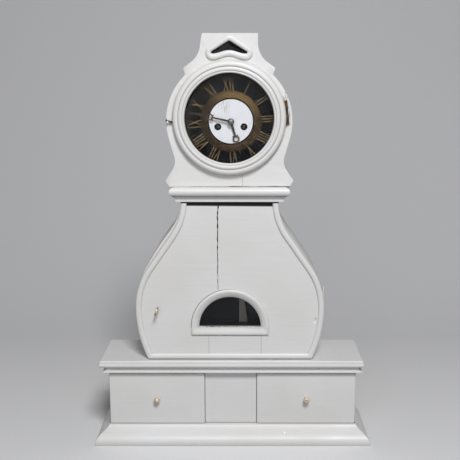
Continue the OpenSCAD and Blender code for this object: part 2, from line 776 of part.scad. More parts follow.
// Board in the neck with the pendulum's slot, and the floor board inside the waist
module inner_boards() {
    color(bare_wood) {
        difference() {
            block([upper_x - neck_in, upper_y - 2.35 + neck_wall, neck_top - board_t],
                  [upper_x + neck_in, case_back_in - joint_gap, neck_top]);
            block([dial_x - 40, rod_y - 12, neck_top - board_t - past],
                  [dial_x + 40, rod_y + 16, neck_top + past]);
        }
        upper() board(wall_y + 0.8, case_back_in - joint_gap) intersection() {
            outline(waist_case_edge(waist_wall + joint_gap, right_swell),
                    waist_case_edge(waist_wall + joint_gap, left_swell));
            translate([-waist_half, inner_floor_z - 8]) square([2 * waist_half, 8]);
        }
    }
}

// Opening in the crest, let out by g: a low triangle with round corners and a wavy lower edge
function crest_opening(g) = let (x = 29.4, r = 2 + 0.97 * g, z = -3 - 0.14 * g) concat(
    arc(0, 12, 4.5 + g, 128, 52, 6),
    arc(x, z, r, 62, -90, 6),
    [for (i = [1:11]) [x - i * x / 6, -2.05 - 1.07 * g - (2.95 + 0.04 * g) * cos(30 * i)]],
    arc(-x, z, r, 270, 118, 6));

module hood_front_board() {
    color(paint) {
        upper() difference() {
            board(upper_y, hood_back_y) outline(hood_edge(0, 0), hood_edge(0, crest_lean));
            spindle(dial_dx, dial_z, upper_y - past, hood_back_y + past, dial_hole_r);
            translate([0, 0, hood_top - 29.8]) board(upper_y - past, hood_back_y + past)
                polygon(crest_opening(0.5));
        }
        upper() {
            spindle(nail_x, catch_z, hook_front - 0.5, upper_y + 0.2, nail_r);
            spindle(nail_x, catch_z, hook_front - 1.2, hook_front - 0.4, nail_r + 1);
        }
    }
}

// Side walls bent to the hood's outline, and the flat top of the crest
module hood_walls() {
    color(paint) upper() {
        for (s = [0, 1]) mirror([s, 0, 0]) board(hood_back_y, case_back_in)
            wall(hood_edge(0, s * crest_lean), hood_edge(hood_wall, s * crest_lean));
        block([-crest_w / 2 + hood_wall + crest_lean + joint_gap, hood_back_y, hood_top - 6],
              [crest_w / 2 - hood_wall - joint_gap, case_back_in, hood_top]);
    }
}

// A closed tube along a flat path in X and Z, elliptical in section
module ring_tube(path, half_w, half_h, sides) {
    n = len(path);
    points = [for (i = [0:n - 1]) let (a = path[(i + n - 1) % n], b = path[(i + 1) % n],
                                      d = (b - a) / norm(b - a), out = [d[1], -d[0]])
        for (k = [0:sides - 1]) let (t = 360 * k / sides)
            [path[i][0] + out[0] * half_w * cos(t), -half_h * sin(t),
             path[i][1] + out[1] * half_w * cos(t)]];
    faces = [for (i = [0:n - 1]) for (k = [0:sides - 1])
        let (j = (i + 1) % n, m = (k + 1) % sides)
        each [[i * sides + k, j * sides + k, j * sides + m],
              [i * sides + k, j * sides + m, i * sides + m]]];
    polyhedron(points, faces);
}

module crest_frame() {
    color(paint) upper() translate([0, upper_y, hood_top - 29.8]) intersection() {
        ring_tube(crest_opening(5.1), 5.1, 4.2, 12);
        block([-60, -8, -40], [60, -0.02, 40]);
    }
}

module crest_glass() {
    color(smoked) upper() translate([0, 0, hood_top - 29.8])
        board(upper_y + 4, upper_y + 6) polygon(crest_opening(0.3));
}

// Frame of the dial door's hinge: the axis runs along local Z, +X points out of the bezel
module dial_hinge_frame() {
    upper() translate([0, dial_hinge_y, bezel_z]) rotate([0, -dial_hinge_at, 0])
        translate([dial_hinge_out, 0, -dial_hinge_l / 2]) children();
}

module bezel_hinge_case_leaf() {
    step = dial_hinge_l / 5;
    color(brass) dial_hinge_frame() {
        knuckles(0, 5, dial_hinge_l, dial_hinge_r, dial_hinge_pin_r + fit);
        difference() {
            block([0, 1.9, 0], [dial_hinge_leaf, 3.2, dial_hinge_l]);
            for (i = [1, 3]) block([-past, 0, i * step - 0.1], [dial_hinge_r + 0.4, 4, (i + 1) * step + 0.1]);
            for (z = [step * 1.5, step * 3.5]) translate([dial_hinge_leaf - 1, 1.9 - past, z])
                rotate([-90, 0, 0]) cylinder(h = 4, r = 0.6);
        }
        difference() {
            block([0, 0, 0], [1.2, 3.2, dial_hinge_l]);
            for (i = [1, 3]) block([-past, -past, i * step - 0.1], [3, 4, (i + 1) * step + 0.1]);
            translate([0, 0, -past]) cylinder(h = dial_hinge_l + 2 * past, r = dial_hinge_r - 0.5);
        }
    }
}

module bezel_hinge_door_leaf() {
    step = dial_hinge_l / 5;
    color(brass) dial_hinge_frame() {
        knuckles(1, 5, dial_hinge_l, dial_hinge_r, 0);
        translate([0, 0, 0.3]) cylinder(h = dial_hinge_l - 0.6, r = dial_hinge_pin_r);
        difference() {
            union() {
                for (i = [1, 3]) block([-3, -1.3, i * step + 0.15], [-0.5, 1.3, (i + 1) * step - 0.15]);
                block([bezel_r - 4 - dial_hinge_out, -3.4, 0],
                      [bezel_r + 0.45 - dial_hinge_out, 2.6, dial_hinge_l]);
            }
            translate([-dial_hinge_out, 0, dial_hinge_l / 2]) board(-5, 5)
                circle(r = bezel_r + 0.02, $fn = 120);
        }
    }
}

// Bezel: a roll, a groove, a second roll, and a small bead round the opening
module bezel_section() {
    h = bezel_h;
    r = bezel_r;
    step = bezel_open_r;
    polygon(concat(
        [[glass_r + 0.3, 0], [r, 0], [r, 2.6]],
        arc(r - 7, 5.2, 7, 8, 110, 10),
        [[r - 10.4, h - 2.4]],
        arc(r - 14.4, h - 5, 5, 45, 120, 8),
        [[r - 17.3, h - 2]],
        arc(step + 2.3, h - 3.1, 1.7, 70, 150, 5),
        [[step, h - 3.4], [step, glass_t + 3.8], [glass_r + 0.3, glass_t + 3.8]]));
}

module bezel_ring() {
    color(paint) upper() translate([0, bezel_y, bezel_z]) rotate([90, 0, 0])
        rotate_extrude($fn = 120) bezel_section();
}

module bezel_glass() {
    color(clear) upper() spindle(0, bezel_z, glass_y, glass_y + glass_t, glass_r);
}

// Eye screwed into the bezel's edge; the hook turns in it
module catch_eye() {
    color(brass) upper() difference() {
        union() {
            spindle(eye_x, catch_z, eye_y - 1, eye_y + 1, eye_r);
            translate([eye_x + eye_r - 0.3, eye_y, catch_z]) rotate([0, 90, 0])
                cylinder(h = -eye_x - eye_r - bezel_r * 0.93, r = 0.8);
        }
        spindle(eye_x, catch_z, eye_y - 2, eye_y + 2, eye_hole_r);
        spindle(0, bezel_z, bezel_y - 8, bezel_y + 8, bezel_r - 0.02);
    }
}

module catch_hook() {
    reach = eye_x - nail_x;
    color(bronze) upper() {
        spindle(eye_x, catch_z, hook_back - 0.1, eye_y + 1.3, eye_hole_r - fit);
        spindle(eye_x, catch_z, eye_y + 1.1, eye_y + 1.7, eye_hole_r + 0.5);
        translate([eye_x, 0, catch_z]) rotate([0, hook_lift, 0]) difference() {
            board(hook_front, hook_back) union() {
                circle(r = 1.9);
                translate([-reach - 2.4, -1.1]) square([reach + 2.4, 3.1]);
                translate([-reach - 3.6, -1.1]) square([1.6, 4.4]);
            }
            board(hook_front - past, hook_back + past) {
                translate([-reach, 0]) circle(r = nail_r + 0.35);
                translate([-reach - nail_r - 0.35, -4]) square([2 * nail_r + 0.7, 4]);
            }
        }
    }
}

// Dial: black plate, fretted brass ring with the numerals, white centre
module dial_plate() {
    color(black) difference() {
        union() {
            upper() spindle(0, bezel_z, hood_back_y, hood_back_y + dial_t, plate_r);
            for (s = [-1, 1]) movement()
                spindle(s * barrel_x, barrel_z, hood_back_y - 1.3, hood_back_y + dial_t, winding_r + 0.9);
        }
        for (s = [-1, 1]) movement()
            spindle(s * barrel_x, barrel_z, hood_back_y - 5, hood_back_y + 5, winding_r);
        movement() spindle(0, 0, hood_back_y - 5, hood_back_y + 5, pipe_hole_r);
    }
}

// A straight strip of brass from one point to another
module strip(a, b, w) {
    d = b - a;
    translate(a) rotate(atan2(d[1], d[0])) translate([0, -w / 2]) square([norm(d), w]);
}

// Width of a numeral's letter, and the letter itself between the heights h0 and h1
function letter_w(c) = c == "I" ? 4.6 : c == "V" ? 10.5 : 11.5;

module letter(c, h0, h1) {
    if (c == "I") strip([0, h0], [0, h1], 2);
    if (c == "V") {
        strip([0.4, h0], [-3.9, h1], 2.2);
        strip([-0.4, h0], [3.9, h1], 1.3);
    }
    if (c == "X") {
        strip([3.9, h0], [-3.9, h1], 2.2);
        strip([-3.9, h0], [3.9, h1], 1.3);
    }
}

function sum_to(text, i) = i < 0 ? 0 : letter_w(text[i]) + sum_to(text, i - 1);

module numeral(text, h0, h1) {
    full = sum_to(text, len(text) - 1);
    for (i = [0:len(text) - 1])
        translate([sum_to(text, i - 1) + letter_w(text[i]) / 2 - full / 2, 0])
            letter(text[i], h0, h1);
}

module chapter_ring() {
    names = ["XII", "I", "II", "III", "IIII", "V", "VI", "VII", "VIII", "IX", "X", "XI"];
    color(brass) movement() board(hood_back_y - fret_t, hood_back_y) difference() {
        union() {
            difference() {
                circle(r = ring_out_r, $fn = 120);
                circle(r = ring_in_r, $fn = 120);
            }
            difference() {
                circle(r = rim_in_r + rim_w, $fn = 120);
                circle(r = rim_in_r, $fn = 120);
            }
            for (i = [0:11]) rotate(dial_turn - 30 * i) numeral(names[i], ring_out_r - 0.8, rim_in_r + 0.6);
        }
        circle(r = ring_in_r, $fn = 120);
    }
}

module dial_centre() {
    color("white") movement() difference() {
        spindle(0, 0, hood_back_y - 0.9, hood_back_y, white_r);
        spindle(0, 0, hood_back_y - 2, hood_back_y + 1, pipe_hole_r);
        for (s = [-1, 1]) spindle(s * barrel_x, barrel_z, hood_back_y - 2, hood_back_y + 1,
                                  winding_r + 1);
    }
}

// A hand pointing up: a tapered arm (arm is half its width at the hub), an open ring with two
// horns, and a leaf-shaped tip
module hand_shape(ring_at, ring_r, length, hub_r, arm) {
    difference() {
        union() {
            circle(r = hub_r);
            polygon([[-arm, 0], [arm, 0], [0.7 * arm, ring_at - 0.75 * ring_r],
                     [-0.7 * arm, ring_at - 0.75 * ring_r]]);
            translate([0, ring_at]) circle(r = ring_r);
            polygon([[-ring_r * 0.85, ring_at - ring_r * 1.15], [0, ring_at - ring_r * 0.8],
                     [ring_r * 0.85, ring_at - ring_r * 1.15], [ring_r * 0.6, ring_at],
                     [-ring_r * 0.6, ring_at]]);
            polygon([[-1.1, ring_at + ring_r - 0.6], [1.1, ring_at + ring_r - 0.6],
                     [1.7, ring_at + ring_r + (length - ring_at - ring_r) * 0.4], [0.3, length],
                     [-0.3, length], [-1.7, ring_at + ring_r + (length - ring_at - ring_r) * 0.4]]);
        }
        translate([0, ring_at]) circle(r = ring_r * 0.6);
    }
}

// Planes of the hands, in front of the dial
hour_y = hood_back_y - 3.4;
minute_y = hour_y - 3;
hand_t = 0.9;
pipe_r = 2.1;
hour_pipe_r = 3;
centre_r = 1.3;

module hour_hand() {
    color(bronze) movement() difference() {
        union() {
            board(hour_y - hand_t, hour_y) rotate(-hour_at) hand_shape(hour_l * 0.54, 6.3, hour_l, 5.4, 2.4);
            spindle(0, 0, hour_y - hand_t, hour_y + 1.2, 4);
        }
        spindle(0, 0, hour_y - 4, hour_y + 4, hour_pipe_r);
    }
}

module minute_hand() {
    dome_r = 5.6;
    color(bronze) movement() {
        difference() {
            union() {
                board(minute_y - hand_t, minute_y) rotate(-minute_at)
                    hand_shape(minute_l * 0.52, 6.3, minute_l, 5.2, 2);
                spindle(0, 0, minute_y - hand_t - 0.4, minute_y + 0.9, 4);
            }
            spindle(0, 0, minute_y - 4, minute_y + 4, pipe_r);
        }
        translate([0, minute_y - hand_t, 0]) rotate([90, 0, 0]) rotate_extrude()
            polygon(concat([[0, 1.4], [pipe_r, 1.4], [pipe_r, 0], [dome_r - 0.6, 0]],
                           arc(0, 0.3, dome_r, 10, 50, 6), [[0, 4.6]]));
    }
}

// A toothed wheel or pinion in X and Z. The tooth's half-widths are shares of its pitch.
module teeth(n, m, add, root_w, mid_w, tip_w) {
    r = m * n / 2;
    half = 180 / n;
    polygon([for (i = [0:n - 1]) for (p = [[r - 1.1 * m, -root_w], [r, -mid_w], [r + add * m, -tip_w],
                                           [r + add * m, tip_w], [r, mid_w], [r - 1.1 * m, root_w]])
        p[0] * [cos(i * 360 / n + p[1] * half), sin(i * 360 / n + p[1] * half)]]);
}

module wheel_teeth(n, m) { teeth(n, m, 0.75, 0.55, 0.42, 0.18); }
module pinion_teeth(n, m) { teeth(n, m, 0.62, 0.42, 0.4, 0.2); }

// A wheel with four crossings, at an angle that puts tooth 0 towards its pinion
module crossed_wheel(n, m, at, y0, y1, hub, rim_w = 1.2) {
    rim = m * n / 2 - 1.1 * m - rim_w;
    board(y0, y1) rotate(at) difference() {
        wheel_teeth(n, m);
        difference() {
            circle(r = rim);
            circle(r = hub);
            for (a = [0, 90]) rotate(a) square([2 * rim + 2, 1.6], center = true);
        }
    }
}

// A pinion at an angle that puts a gap towards its wheel
module pinion(n, m, at, y0, y1) { board(y0, y1) rotate(at + 180 / n) pinion_teeth(n, m); }

// An arbor between the plates, with a thinner pivot in each plate
module arbor(r) {
    spindle(0, 0, inside_y + 0.3, back_plate_y - 0.3, r);
    spindle(0, 0, front_plate_y + 0.2, back_plate_y + plate_t - 0.2, pivot_r);
}

module pivot_hole(x, z, y, r) { spindle(x, z, y - past, y + plate_t + past, r + fit); }

// Plates: every arbor has a hole in both
module plate_shape(y) {
    difference() {
        board(y, y + plate_t) polygon([[-plate_half + 5, plate_low], [plate_half - 5, plate_low],
            [plate_half, plate_low + 5], [plate_half, plate_high - 5], [plate_half - 5, plate_high],
            [-plate_half + 5, plate_high], [-plate_half, plate_high - 5], [-plate_half, plate_low + 5]]);
        for (p = [[0, third_z], [0, escape_z], [second_x, second_z], [fly_x, fly_z]])
            pivot_hole(p[0], p[1], y, pivot_r);
    }
}

module movement_front_plate() {
    color(brass) movement() difference() {
        union() {
            plate_shape(front_plate_y);
            for (x = [-38, 38]) for (z = [-28, 44])
                spindle(x, z, hood_back_y + dial_t, front_plate_y, 2.5);
            spindle(0, motion_z, front_plate_y - 8.4, front_plate_y, 1);
        }
        pivot_hole(0, 0, front_plate_y, centre_r);
        pivot_hole(0, anchor_z, front_plate_y, pivot_r);
        pivot_hole(hammer_x, hammer_z, front_plate_y, pivot_r);
        for (s = [-1, 1]) pivot_hole(s * barrel_x, barrel_z, front_plate_y, 2.6);
    }
}

// Back plate with its riveted pillars and the cock that carries the pendulum
module movement_back_plate() {
    cock_y = rod_y + 3.5;
    color(brass) movement() {
        difference() {
            plate_shape(back_plate_y);
            pivot_hole(0, 0, back_plate_y, centre_r);
            pivot_hole(0, anchor_z, back_plate_y, arbor_r);
            pivot_hole(hammer_x, hammer_z, back_plate_y, arbor_r);
            for (s = [-1, 1]) pivot_hole(s * barrel_x, barrel_z, back_plate_y, 1.5);
        }
        for (x = [-42, 42]) for (z = [-32, 54])
            spindle(x, z, inside_y, back_plate_y + 0.5, 3);
        block([-7, back_plate_y + plate_t - 0.1, anchor_z + 4.5], [7, cock_y + 2, anchor_z + 7.5]);
        block([-7, back_plate_y + 1, anchor_z + 4.5], [7, back_plate_y + 4, plate_high]);
        block([-5, cock_y, anchor_z - 4], [5, cock_y + 2, anchor_z + 5]);
        spindle(0, anchor_z, rod_y - 2.5, cock_y + 1, 1.2);
    }
}

// Great wheel with its spring barrel, turning on the winding arbor
module great_wheel(x, at, wheel_y, drum_end) {
    drum_r = 18.6;
    drum_y = wheel_y + 2;
    color(brass) movement() translate([x, 0, barrel_z]) difference() {
        union() {
            board(wheel_y, drum_y) rotate(at) wheel_teeth(great_teeth, great_m);
            spindle(0, 0, drum_y, drum_end, drum_r);
        }
        spindle(0, 0, drum_y + 1, drum_end - 1.2, drum_r - 1.2);
        spindle(0, 0, wheel_y - past, drum_end + past, 2.6 + fit);
    }
}

// Winding arbor with a square end, carrying the coiled mainspring inside the barrel
module winding_arbor(x, spring_y0, spring_y1) {
    turns = 7;
    steps = turns * 20;
    pitch = 1.9;
    thick = 0.5;
    coil = function(i, t) let (a = 360 * i / 20, r = 2.5 + pitch * a / 360 + t) r * [cos(a), sin(a)];
    color(steel) movement() translate([x, 0, barrel_z]) {
        spindle(0, 0, inside_y + 0.3, back_plate_y - 0.3, 2.6);
        spindle(0, 0, front_plate_y - 4, back_plate_y, 2.6);
        spindle(0, 0, back_plate_y - 0.5, back_plate_y + plate_t + 1.5, 1.5);
        block([-1.8, hood_back_y + 0.2, -1.8], [1.8, front_plate_y - 3.9, 1.8]);
        board(spring_y0, spring_y1) polygon(concat([for (i = [0:steps]) coil(i, 0)],
                                                   [for (i = [steps:-1:0]) coil(i, thick)]));
    }
}

going_y = inside_y + 4.5;
strike_y = inside_y + 11.5;
drum_back = inside_y + 28.5;
rear_y = inside_y + 30.2;
third_y = inside_y + 17.5;

module going_great_wheel() { great_wheel(barrel_x, 180 + atan2(barrel_z, barrel_x), going_y, drum_back); }
module going_winding_arbor() { winding_arbor(barrel_x, going_y + 4, drum_back - 2.2); }
module strike_great_wheel() { great_wheel(-barrel_x, second_at, strike_y, drum_back - 1); }
module strike_winding_arbor() { winding_arbor(-barrel_x, strike_y + 4, drum_back - 3.2); }

module centre_wheel() {
    color(brass) movement() {
        spindle(0, 0, minute_y + 1.6, back_plate_y + plate_t, centre_r);
        spindle(0, 0, inside_y + 2.4, inside_y + 3, 2.4);
        pinion(great_leaves, great_m, atan2(barrel_z, barrel_x), inside_y + 3, going_y + 3);
        crossed_wheel(centre_teeth, centre_m, 90, rear_y, rear_y + 1.2, 3.4);
    }
}

module third_wheel() {
    color(brass) movement() translate([0, 0, third_z]) {
        arbor(1);
        pinion(third_leaves, centre_m, -90, rear_y - 0.7, rear_y + 2);
        crossed_wheel(third_teeth, third_m, 90, third_y, third_y + 1.2, 3);
    }
}

// Escape wheel with pointed teeth that lean towards the pallets
module escape_wheel() {
    root = escape_r - 2.2;
    pitch = 360 / escape_teeth;
    color(brass) movement() translate([0, 0, escape_z]) {
        arbor(1);
        pinion(escape_leaves, third_m, -90, third_y - 0.8, third_y + 2);
        board(pallet_y, pallet_y + 1.2) difference() {
            polygon([for (i = [0:escape_teeth - 1])
                for (p = [[root, 0], [escape_r, 0.3], [escape_r, 0.4], [root, 0.75]])
                    p[0] * [cos((i + p[1]) * pitch), sin((i + p[1]) * pitch)]]);
            difference() {
                circle(r = root - 1.2);
                circle(r = 2.8);
                for (a = [0, 90]) rotate(a) square([2 * root, 1.4], center = true);
            }
        }
    }
}

// Anchor with its two pallets just clear of the wheel, its arbor, and the crutch behind
module anchor() {
    reach = escape_r + pallet_clear;
    tip = [reach * sin(pallet_half), escape_z - anchor_z + reach * cos(pallet_half)];
    fork_z = -46;
    color(steel) movement() translate([0, 0, anchor_z]) {
        spindle(0, 0, inside_y + 0.3, back_plate_y - 0.3, arbor_r);
        spindle(0, 0, front_plate_y + 0.2, inside_y + 0.4, pivot_r);
        spindle(0, 0, back_plate_y - 0.4, crutch_y + 1.5, arbor_r);
        board(pallet_y - 0.6, pallet_y + 1.8) union() {
            circle(r = 2.8);
            for (s = [0, 1]) mirror([s, 0]) polygon([[0, 1.6], [5, 1.2], tip + [2.2, 1.8],
                tip + [1.6, 0.1], tip, tip + [-0.9, 1.3], [3, -1.4], [0, -1.8]]);
        }
        board(crutch_y, crutch_y + 1.5) polygon([[-1.3, 0], [1.3, 0], [1.3, fork_z], [-1.3, fork_z]]);
        board(crutch_y, crutch_y + 1.5) circle(r = 2.6);
        block([-rod_r - 1.6, crutch_y, fork_z - 2], [rod_r + 1.6, crutch_y + 1.5, fork_z + 1]);
        for (s = [-1, 1]) block([s * (rod_r + 0.9) - 0.6, crutch_y, fork_z - 2],
                                [s * (rod_r + 0.9) + 0.6, rod_y + 3, fork_z + 1]);
    }
}

// Pendulum rod: an eye on the cock's pin, a flat spring, a round rod and the rating nut
module pendulum_rod() {
    color(steel) movement() translate([0, 0, anchor_z]) {
        difference() {
            union() {
                spindle(0, 0, rod_y - 1.5, rod_y + 1.5, 3);
                block([-2.5, rod_y - 0.3, -12], [2.5, rod_y + 0.3, -2]);
                translate([0, rod_y, -pendulum_l - bob_r - 12])
                    cylinder(h = pendulum_l + bob_r + 0.5, r = rod_r);
                translate([0, rod_y, -pendulum_l - bob_r - 7]) cylinder(h = 4, r = 4);
            }
            spindle(0, 0, rod_y - 3, rod_y + 3, 1.2 + fit);
        }
    }
}

module pendulum_bob() {
    color(brass) movement() translate([0, rod_y, anchor_z - pendulum_l]) difference() {
        rotate([90, 0, 0]) rotate_extrude($fn = 90) polygon(concat(
            [[0, -5], [bob_r * 0.55, -4.6], [bob_r * 0.85, -3], [bob_r, -0.8], [bob_r, 0.8],
             [bob_r * 0.85, 3], [bob_r * 0.55, 4.6], [0, 5]]));
        translate([0, 0, -bob_r - past]) cylinder(h = 2 * bob_r + 2 * past, r = rod_r + 0.02);
    }
}

module strike_second_wheel() {
    pins = 8;
    color(brass) movement() translate([second_x, 0, second_z]) {
        arbor(1);
        pinion(great_leaves, great_m, second_at + 180, strike_y - 1, strike_y + 3);
        crossed_wheel(second_teeth, second_m, fly_at, rear_y, rear_y + 1.2, 3, 3.2);
        for (i = [0:pins - 1]) rotate([0, 360 * i / pins, 0])
            spindle(11.2, 0, rear_y - 1.5, rear_y + 0.1, 0.6);
    }
}

module strike_fly() {
    color(brass) movement() translate([fly_x, 0, fly_z]) {
        arbor(1);
        pinion(fly_leaves, second_m, fly_at + 180, rear_y - 0.8, rear_y + 2);
        block([-9.5, inside_y + 4, -0.4], [9.5, inside_y + 22, 0.4]);
    }
}

// Hammer: an arbor in the plates, a tail near the pin wheel, an arm behind the plates
module hammer() {
    head_z = gong_z - dial_z - hammer_z;
    head_x = hammer_head_x - dial_x - hammer_x;
    arm_y = crutch_y;
    color(steel) movement() translate([hammer_x, 0, hammer_z]) {
        spindle(0, 0, inside_y + 0.3, back_plate_y - 0.3, arbor_r);
        spindle(0, 0, front_plate_y + 0.2, inside_y + 0.4, pivot_r);
        spindle(0, 0, back_plate_y - 0.4, arm_y + 1.6, arbor_r);
        board(rear_y - 2.2, rear_y - 1) union() {
            circle(r = 2.6);
            polygon([[-1.2, 0], [1.6, 0], [1.6, -9.5], [0.4, -9.5]]);
        }
        board(arm_y, arm_y + 1.6) union() {
            circle(r = 3);
            polygon([[-1.5, 0], [1.5, 0], [head_x + 1.5, head_z], [head_x - 1.5, head_z]]);
        }
        spindle(head_x, head_z, arm_y, gong_y, 1.6);
        translate([head_x - 9, gong_y, head_z]) rotate([0, 90, 0]) cylinder(h = 18, r = 4);
    }
}

// Gong: a flat coil of wire, its inner end let into a post on the back board
module gong() {
    turns = 4;
    per_turn = 24;
    first = 13;
    sides = 8;
    rise = (gong_r - first) / turns;
    n = turns * per_turn;
    at = function(i) let (a = 360 * i / per_turn, r = first + rise * i / per_turn) [r * cos(a), r * sin(a)];
    points = [for (i = [0:n]) let (c = at(i), d = c / norm(c)) for (k = [0:sides - 1])
        let (t = 360 * k / sides) [c[0] + d[0] * gong_wire * cos(t), -gong_wire * sin(t),
                                   c[1] + d[1] * gong_wire * cos(t)]];
    faces = concat([[for (k = [sides - 1:-1:0]) k]], [[for (k = [0:sides - 1]) n * sides + k]],
        [for (i = [0:n - 1]) for (k = [0:sides - 1]) let (m = (k + 1) % sides)
            each [[i * sides + k, (i + 1) * sides + m, (i + 1) * sides + k],
                  [i * sides + k, i * sides + m, (i + 1) * sides + m]]]);
    color(steel) translate([gong_x, 0, gong_z]) {
        translate([0, gong_y, 0]) polyhedron(points, faces);
        spindle(first, -1, gong_y - 3, case_back_in, 4);
    }
}

module cannon_pinion() {
    y1 = front_plate_y - 0.6;
    color(brass) movement() difference() {
        union() {
            pinion(cannon_teeth, motion_m, -90, y1 - 2.6, y1);
            spindle(0, 0, minute_y - hand_t, y1, pipe_r);
        }
        spindle(0, 0, minute_y - 5, y1 + past, centre_r + fit);
    }
}

module minute_wheel() {
    y1 = front_plate_y - 1;
    color(brass) movement() translate([0, 0, motion_z]) difference() {
        union() {
            crossed_wheel(minute_teeth, motion_m, 90, y1 - 1.2, y1, 3.6);
            pinion(minute_leaves, motion_m, 90, y1 - 6.2, y1 - 1);
        }
        spindle(0, 0, y1 - 12, y1 + past, 1 + fit);
    }
}

module hour_wheel() {
    y1 = front_plate_y - 4.2;
    color(brass) movement() difference() {
        union() {
            crossed_wheel(hour_teeth, motion_m, -90, y1 - 1.2, y1, 4);
            spindle(0, 0, hour_y - hand_t, y1, hour_pipe_r);
        }
        spindle(0, 0, hour_y - 5, y1 + past, pipe_r + fit);
    }
}

base_floor();
base_sides();
base_back();
drawer_frame();
plinth_mouldings();
shelf_board();
shelf_mouldings();
left_drawer_front();
left_drawer_box();
left_drawer_knob();
right_drawer_front();
right_drawer_box();
right_drawer_knob();
waist_sides();
case_back();
waist_hinge_case_leaf();
waist_door_panel();
waist_door_beads();
window_frame();
window_glass();
door_lock();
waist_hinge_door_leaf();
door_key();
lock_bolt();
upper() neck_moulding();
inner_boards();
hood_front_board();
hood_walls();
crest_frame();
crest_glass();
bezel_hinge_case_leaf();
bezel_ring();
bezel_glass();
bezel_hinge_door_leaf();
catch_eye();
catch_hook();
dial_plate();
chapter_ring();
dial_centre();
minute_hand();
hour_hand();
cannon_pinion();
minute_wheel();
hour_wheel();
movement_front_plate();
movement_back_plate();
going_great_wheel();
going_winding_arbor();
centre_wheel();
third_wheel();
escape_wheel();
anchor();
pendulum_rod();
pendulum_bob();
strike_great_wheel();
strike_winding_arbor();
strike_second_wheel();
strike_fly();
hammer();
gong();
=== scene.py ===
# %% [markdown]
# # A painted table clock
# The clock is a wooden case in old grey-white paint: a round hood with a glazed dial door, a
# bellied waist with a half-moon window, and a wide base with two drawers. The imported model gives
# every piece its size and place. This lesson gives the pieces their soft edges and their finish.

# %% Load the frame
import json
import math

import bmesh
import bpy
import numpy as np
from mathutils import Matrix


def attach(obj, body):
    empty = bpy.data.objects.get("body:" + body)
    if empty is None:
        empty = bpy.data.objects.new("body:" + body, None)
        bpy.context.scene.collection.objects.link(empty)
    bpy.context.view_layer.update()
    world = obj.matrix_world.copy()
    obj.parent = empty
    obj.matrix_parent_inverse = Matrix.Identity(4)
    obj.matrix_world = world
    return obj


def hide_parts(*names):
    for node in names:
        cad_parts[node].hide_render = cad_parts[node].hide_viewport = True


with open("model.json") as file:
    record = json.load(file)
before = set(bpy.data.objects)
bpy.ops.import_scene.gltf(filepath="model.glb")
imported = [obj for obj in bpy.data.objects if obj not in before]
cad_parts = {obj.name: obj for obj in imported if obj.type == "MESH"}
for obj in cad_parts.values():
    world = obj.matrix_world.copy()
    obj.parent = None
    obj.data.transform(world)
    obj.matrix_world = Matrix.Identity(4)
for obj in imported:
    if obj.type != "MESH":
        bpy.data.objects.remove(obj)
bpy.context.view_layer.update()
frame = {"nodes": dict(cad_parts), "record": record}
nodes = frame["nodes"]
members_of = frame["record"]["behaviour"]["bodies"]
body_of = {node: body for body, members in members_of.items() for node in members}

# %% [markdown]
# ## The camera
# The camera comes first, because every later choice is judged through it. The photograph was
# taken from about a metre and a half, a little above the hood, looking down by eleven degrees.
# The picture was cropped off centre. The camera could be turned sideways for that, but then the
# upright lines would lean, so its lens is shifted instead.

# %% Camera
PICTURE_WIDTH = 460
SHIFT_PIXELS = -13
LOOK_DOWN = 10.97
camera = bpy.data.objects.new("camera", bpy.data.cameras.new("camera"))
bpy.context.scene.collection.objects.link(camera)
camera.data.sensor_width = 36
camera.data.lens = 62.6
camera.data.shift_x = SHIFT_PIXELS / PICTURE_WIDTH
camera.location = (0.0198, -1.4754, 0.6885)
camera.rotation_euler = (math.radians(90 - LOOK_DOWN), 0, 0)
bpy.context.scene.camera = camera
print("camera at", tuple(camera.location))

# %% [markdown]
# ## The lamps
# The real clock was lit by one soft lamp, high up and to the right of the camera. The shadows of
# the hands fall a few millimetres below them, which tells how high it stood. A point lamp would
# draw these shadows too sharply, so both lamps are square areas. The second one is weak, and
# keeps the shadows from going black.

# %% Lamps
CLOCK_MIDDLE = np.array([0, 0, 0.4])


def lamp(name, place, size, watts):
    """A square area lamp at place. It is turned so that its -Z axis points at the clock."""
    light = bpy.data.lights.new(name, "AREA")
    light.size = size
    light.energy = watts
    holder = bpy.data.objects.new(name, light)
    bpy.context.scene.collection.objects.link(holder)
    holder.location = place
    aim = CLOCK_MIDDLE - place
    flat = math.hypot(aim[0], aim[1])
    holder.rotation_euler = (math.atan2(flat, -aim[2]), 0, math.atan2(aim[1], aim[0]) - math.pi / 2)


lamp("key_lamp", (0.36, -2.05, 2.4), 0.75, 62.5)
lamp("fill_lamp", (-0.3, -2.6, 1.0), 1.4, 11)
print("lamps:", [light.name for light in bpy.data.lights])

# %% [markdown]
# ## The world
# The world gives the clock a weak, slightly blue light from all round. It should look pale only
# where the camera, a mirror or a pane sees it. The Light Path node tells these rays apart, so
# one world can do both.

# %% World
world = bpy.data.worlds.new("studio")
bpy.context.scene.world = world
world.use_nodes = True
sky = world.node_tree
sky_out = sky.nodes["World Output"]
dim = sky.nodes["Background"]
dim.inputs["Color"].default_value = (0.93, 0.96, 1.0, 1)
dim.inputs["Strength"].default_value = 0.13
white = sky.nodes.new("ShaderNodeBackground")
white.inputs["Color"].default_value = (0.86, 0.86, 0.86, 1)
rays = sky.nodes.new("ShaderNodeLightPath")
seen = rays.outputs["Is Camera Ray"]
for other in ("Is Glossy Ray", "Is Transmission Ray"):
    either = sky.nodes.new("ShaderNodeMath")
    either.operation = "MAXIMUM"
    sky.links.new(seen, either.inputs[0])
    sky.links.new(rays.outputs[other], either.inputs[1])
    seen = either.outputs[0]
pick = sky.nodes.new("ShaderNodeMixShader")
sky.links.new(seen, pick.inputs[0])
sky.links.new(dim.outputs[0], pick.inputs[1])
sky.links.new(white.outputs[0], pick.inputs[2])
sky.links.new(pick.outputs[0], sky_out.inputs[0])
